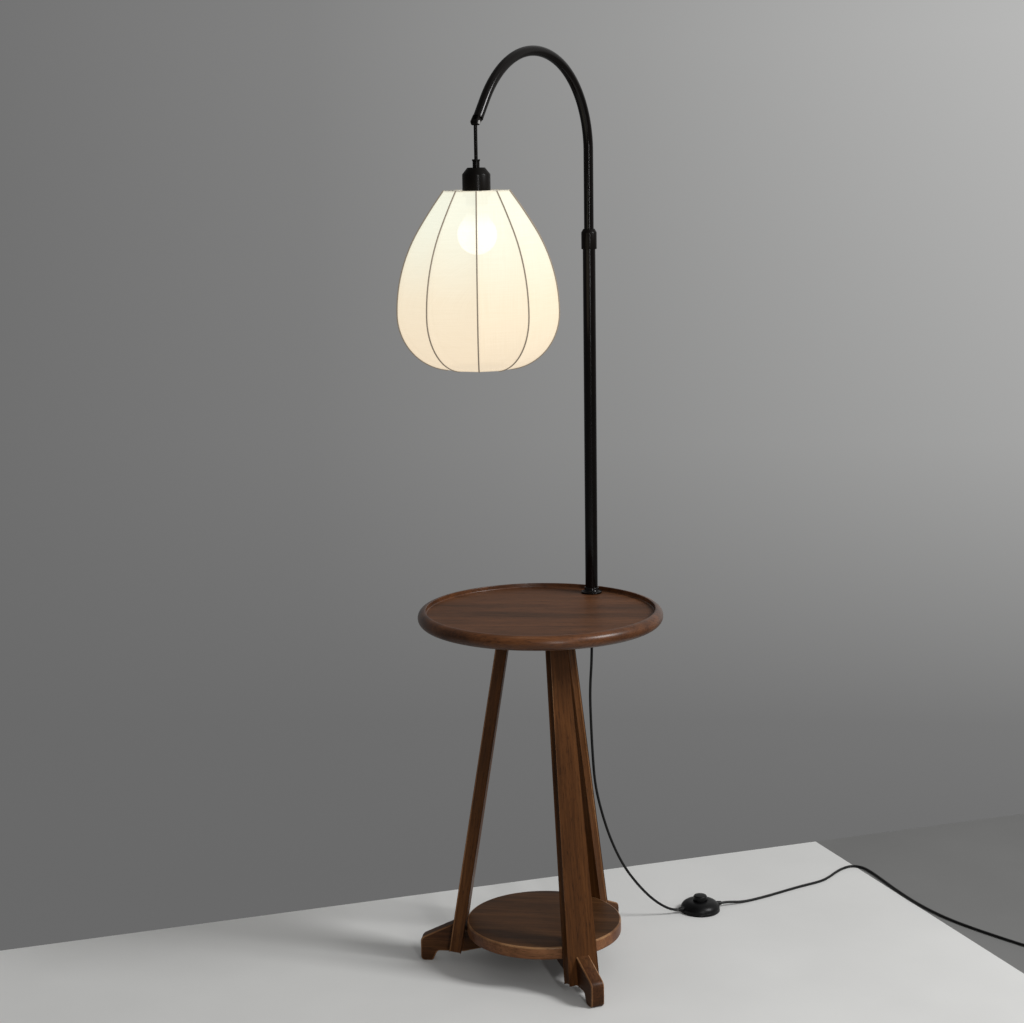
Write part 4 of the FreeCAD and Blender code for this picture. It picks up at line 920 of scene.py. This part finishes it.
def makeSwitch():
    radius, high, button = footSwitch["radius"], footSwitch["height"], footSwitch["button"]
    centre = cordFacts["switch"]
    inner, floor = radius - footSwitch["wall"], footSwitch["floor"]
    base = [(0, 0.3), (8, 0.3), (8, 0), (radius - 1.2, 0), (radius - 0.3, 0.5), (radius, 1.0),
            (inner, 1), (inner, floor), (0, floor)]
    settle(lathe("switchBase", base, centre, 96, [finish["plastic"]]),
           "stand", "black_plastic", "switch_base")
    mouth, stop, low = button + footSwitch["gap"], high - 2, 5
    dome = [(radius - 2, 1.2), (radius - 0.4, 1.2), (radius, 1.7), (radius, 4.4),
            (radius - 0.35, 4.9)]
    dome += domeLine(radius, mouth + 2.9, low, high - low, range(6, 86, 5))
    dome += [(mouth + 2.7, high), (mouth + 0.9, high), (mouth + 0.1, high - 0.5), (mouth, stop),
             (mouth + 2.5, stop)]
    dome += domeLine(radius - 2, mouth + 1.1, low - 0.5, high - low - 1.9, range(80, 4, -10))
    settle(lathe("switchCover", dome, centre, 96, [finish["plastic"]], sharp=40),
           "stand", "black_plastic", "switch_cover")
    top, edge, skirt = footSwitch["button top"], footSwitch["button round"], footSwitch["skirt"]
    bore, ceiling = footSwitch["button bore"]
    cap = [(0, ceiling), (bore, ceiling), (bore, stop - skirt - 0.2),
           (button + 2, stop - skirt - 0.2), (button + 2, stop - 0.2), (button, stop - 0.1),
           (button, top - 3.2)]
    cap += arcPoints((button - edge, top - 3.1), edge, 10, 80, 5)
    cap += [(6, top - 0.35), (3, top - 0.1), (0, top)]
    settle(lathe("switchButton", cap, centre, 72, [finish["plastic"]], sharp=45),
           "button", "black_plastic", "switch_button")


sleeve = {
    "ribs": 6, "spacing": 3.4, "radius": 4.6, "taper": 0.28, "groove": 0.75, "start": 0.6,
    "first": 3, "collar": 4.9, "tip": 2.7, "bore": 2.2,
}


def makePlugRelief():
    # ribbed sleeve where the cord enters the plug
    end = Vector(lowerRoute[-1])
    side = coilHeading.cross(upright)
    steps = 32
    bore, start, count = sleeve["bore"], sleeve["start"], sleeve["ribs"]
    profile = [(start, bore), (start, sleeve["collar"])]
    for i in range(count):
        at = -sleeve["first"] - sleeve["spacing"] * i
        outer = sleeve["radius"] - sleeve["taper"] * i
        profile += [(at + 1.3, outer), (at - 1.1, outer - 0.1), (at - 1.3, outer - 0.7),
                    (at - 2.0, outer - sleeve["groove"])]
    last = -sleeve["first"] - sleeve["spacing"] * count
    profile += [(last, sleeve["tip"]), (last, bore)]
    points = []
    for at, reach in profile:
        for k in range(steps):
            turn = 360 * k / steps
            out = side * cosine(turn) + upright * sine(turn)
            points.append(end + coilHeading * at + out * reach)
    piece = newPiece("plugRelief", points, tubeFaces(len(profile), steps, True),
                     [finish["sheath"]], sharp=40)
    settle(piece, "stand", "black_cord")


makeSwitch()
makePlugRelief()
print("foot switch and plug relief made")


nodeFinish = {
    "zinc": ["leg_bolts", "leg_inserts", "foot_screws", "shelf_screws", "pole_plug", "pole_stud",
             "pole_washer", "pole_nut", "holder_nipple", "switch_screws", "switch_spring"],
    "beech": ["leg_dowels"],
    "cup": ["arm_fork", "hanger_rod"],
    "nickel": ["pivot_screw", "pivot_nut"],
    "plastic": ["lampholder", "shade_ring", "switch_block", "plug_body"],
    "nylon": ["collar_ferrule", "guide_bush"],
    "brass": ["lamp_contact", "plug_pins"],
    "aluminium": ["bulb_cap"],
    "wire": ["shade_frame", "shade_gallery"],
    "sheath": ["cord_bush", "switch_bushes", "flex_pole", "flex_slack", "flex_arm", "flex_rod"],
}
for kind, names in nodeFinish.items():
    for name in names:
        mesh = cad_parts[name].data
        mesh.materials.clear()
        mesh.materials.append(finish[kind])

[c / 1000 for c in upperRoute[0]]
[c / 1000 for c in lowerRoute[0]]


stage = {
    "edge": [(-0.833, -0.385), (0.149, 0.821)],  # far edge of the pale platform
    "side": (0.710, 0.398),                      # a point of its right edge
    "wide": 2.5,
    "deep": 4,
    "pale": ("#dadad8", "#e1e1df"),
    "grey": ("#767675", "#7b7b7a"),
    "bounce": "#6e6e6c",  # the floor as the lamp's undersides see it
    "light": 0.44,
    "wall dark": "#686868",
    "wall bright": "#b8b8b7",
    "across": [(0.0, "#565656"), (0.3, "#868686"), (0.62, "#c3c3c3"), (1.0, "#ffffff")],
    "rise": [(0.0, "#3c3c3c"), (0.18, "#686868"), (0.52, "#d6d6d6"), (1.0, "#ffffff")],
    "room": [(0.0, "#8c8c8c"), (1.0, "#ffffff")],
}
lamps = {
    "key": {"place": (2.9, 0.5, 2.7), "target": (0, 0, 0.6), "size": (0.9, 1.1), "power": 92},
    "strip": {"place": (2.7, -2.5, 1.6), "target": (0, 0, 0.8), "size": (0.18, 1.8), "power": 26},
}


def backdropRays(tree):
    path = addNode(tree, "ShaderNodeLightPath").outputs
    seen = addNode(tree, "ShaderNodeMath", {
        0: path["Is Camera Ray"], 1: path["Is Transmission Ray"]}, operation="MAXIMUM")
    return addNode(tree, "ShaderNodeMath", {0: seen, 1: path["Is Glossy Ray"]}, operation="MAXIMUM")


def makeFloor():
    first, second = (Vector(p) for p in stage["edge"])
    wide, deep = stage["wide"], stage["deep"]
    way = (second - first).normalized()
    down = (Vector(stage["side"]) - second).normalized()
    near = Vector((way.y, -way.x))
    pale = [first - way * wide, second, second + down * deep, first - way * wide + near * deep]
    grey = [second, second + way * wide, second + way * wide + down * deep, second + down * deep]
    for name, corners, codes in (("paintedPlatform", pale, stage["pale"]),
                                 ("paintedGround", grey, stage["grey"])):
        # Matt emulsion paint with a faint cloudiness of about 300 mm.
        mesh = bpy.data.meshes.new(name)
        mesh.from_pydata([(*c, 0) for c in corners], [], [list(range(len(corners)))[::-1]])
        material, tree, shader = newMaterial(name, Roughness=0.7, Specular_IOR_Level=0.1)
        cloud = addNode(tree, "ShaderNodeValToRGB", {"Fac": pattern(tree, (300, 300, 300), 3)},
                        [(0.3, codes[0]), (0.7, codes[1])])
        shown = addNode(tree, "ShaderNodeMix", {
            0: backdropRays(tree), 6: linear(stage["bounce"]), 7: cloud}, data_type="RGBA")
        feed(tree, shader.inputs["Base Color"], shown.outputs[2])
        mesh.materials.append(material)
        link(bpy.data.objects.new(name, mesh))


def shadeAlong(tree, axis, low, high, stops):
    # grey that changes with the direction in the room, along an axis
    way = addNode(tree, "ShaderNodeTexCoord").outputs["Generated"]
    slant = addNode(tree, "ShaderNodeVectorMath", {0: way, 1: tuple(axis)},
                    operation="DOT_PRODUCT").outputs["Value"]
    part = addNode(tree, "ShaderNodeMapRange", {"Value": slant, "From Min": low, "From Max": high})
    return addNode(tree, "ShaderNodeValToRGB", {"Fac": part}, stops)


def makeWorld():
    # a grey wall that is brighter towards its upper right, and softer light from all round
    world = bpy.data.worlds.new("studio")
    scene.world = world
    world.use_nodes = True
    tree = world.node_tree
    tree.nodes.clear()
    across = shadeAlong(tree, right, -0.24, 0.24, stage["across"])
    rise = shadeAlong(tree, right.cross(forward), -0.17, 0.22, stage["rise"])
    bright = addNode(tree, "ShaderNodeMath", {0: across, 1: rise}, operation="MULTIPLY")
    dark, pale = linear(stage["wall dark"]), linear(stage["wall bright"])
    wall = addNode(tree, "ShaderNodeMix", {0: bright, 6: dark, 7: pale}, data_type="RGBA")
    shown = addNode(tree, "ShaderNodeBackground", {"Color": wall.outputs[2], "Strength": 1.0})
    lighting = addNode(tree, "ShaderNodeBackground", {
        "Color": shadeAlong(tree, right, -0.9, 0.9, stage["room"]), "Strength": stage["light"]})
    mixed = addNode(tree, "ShaderNodeMixShader", {0: backdropRays(tree), 1: lighting, 2: shown})
    addNode(tree, "ShaderNodeOutputWorld", {"Surface": mixed})


def areaLamp(name, place, target, size, power):
    lamp = bpy.data.lights.new(name, "AREA")
    lamp.shape = "RECTANGLE"
    lamp.size, lamp.size_y = size
    lamp.energy = power
    item = link(bpy.data.objects.new(name, lamp))
    item.location = place
    item.rotation_euler = (Vector(target) - Vector(place)).to_track_quat("-Z", "Y").to_euler()


makeFloor()
makeWorld()
for name, given in lamps.items():
    areaLamp(name, **given)
print("stage made")
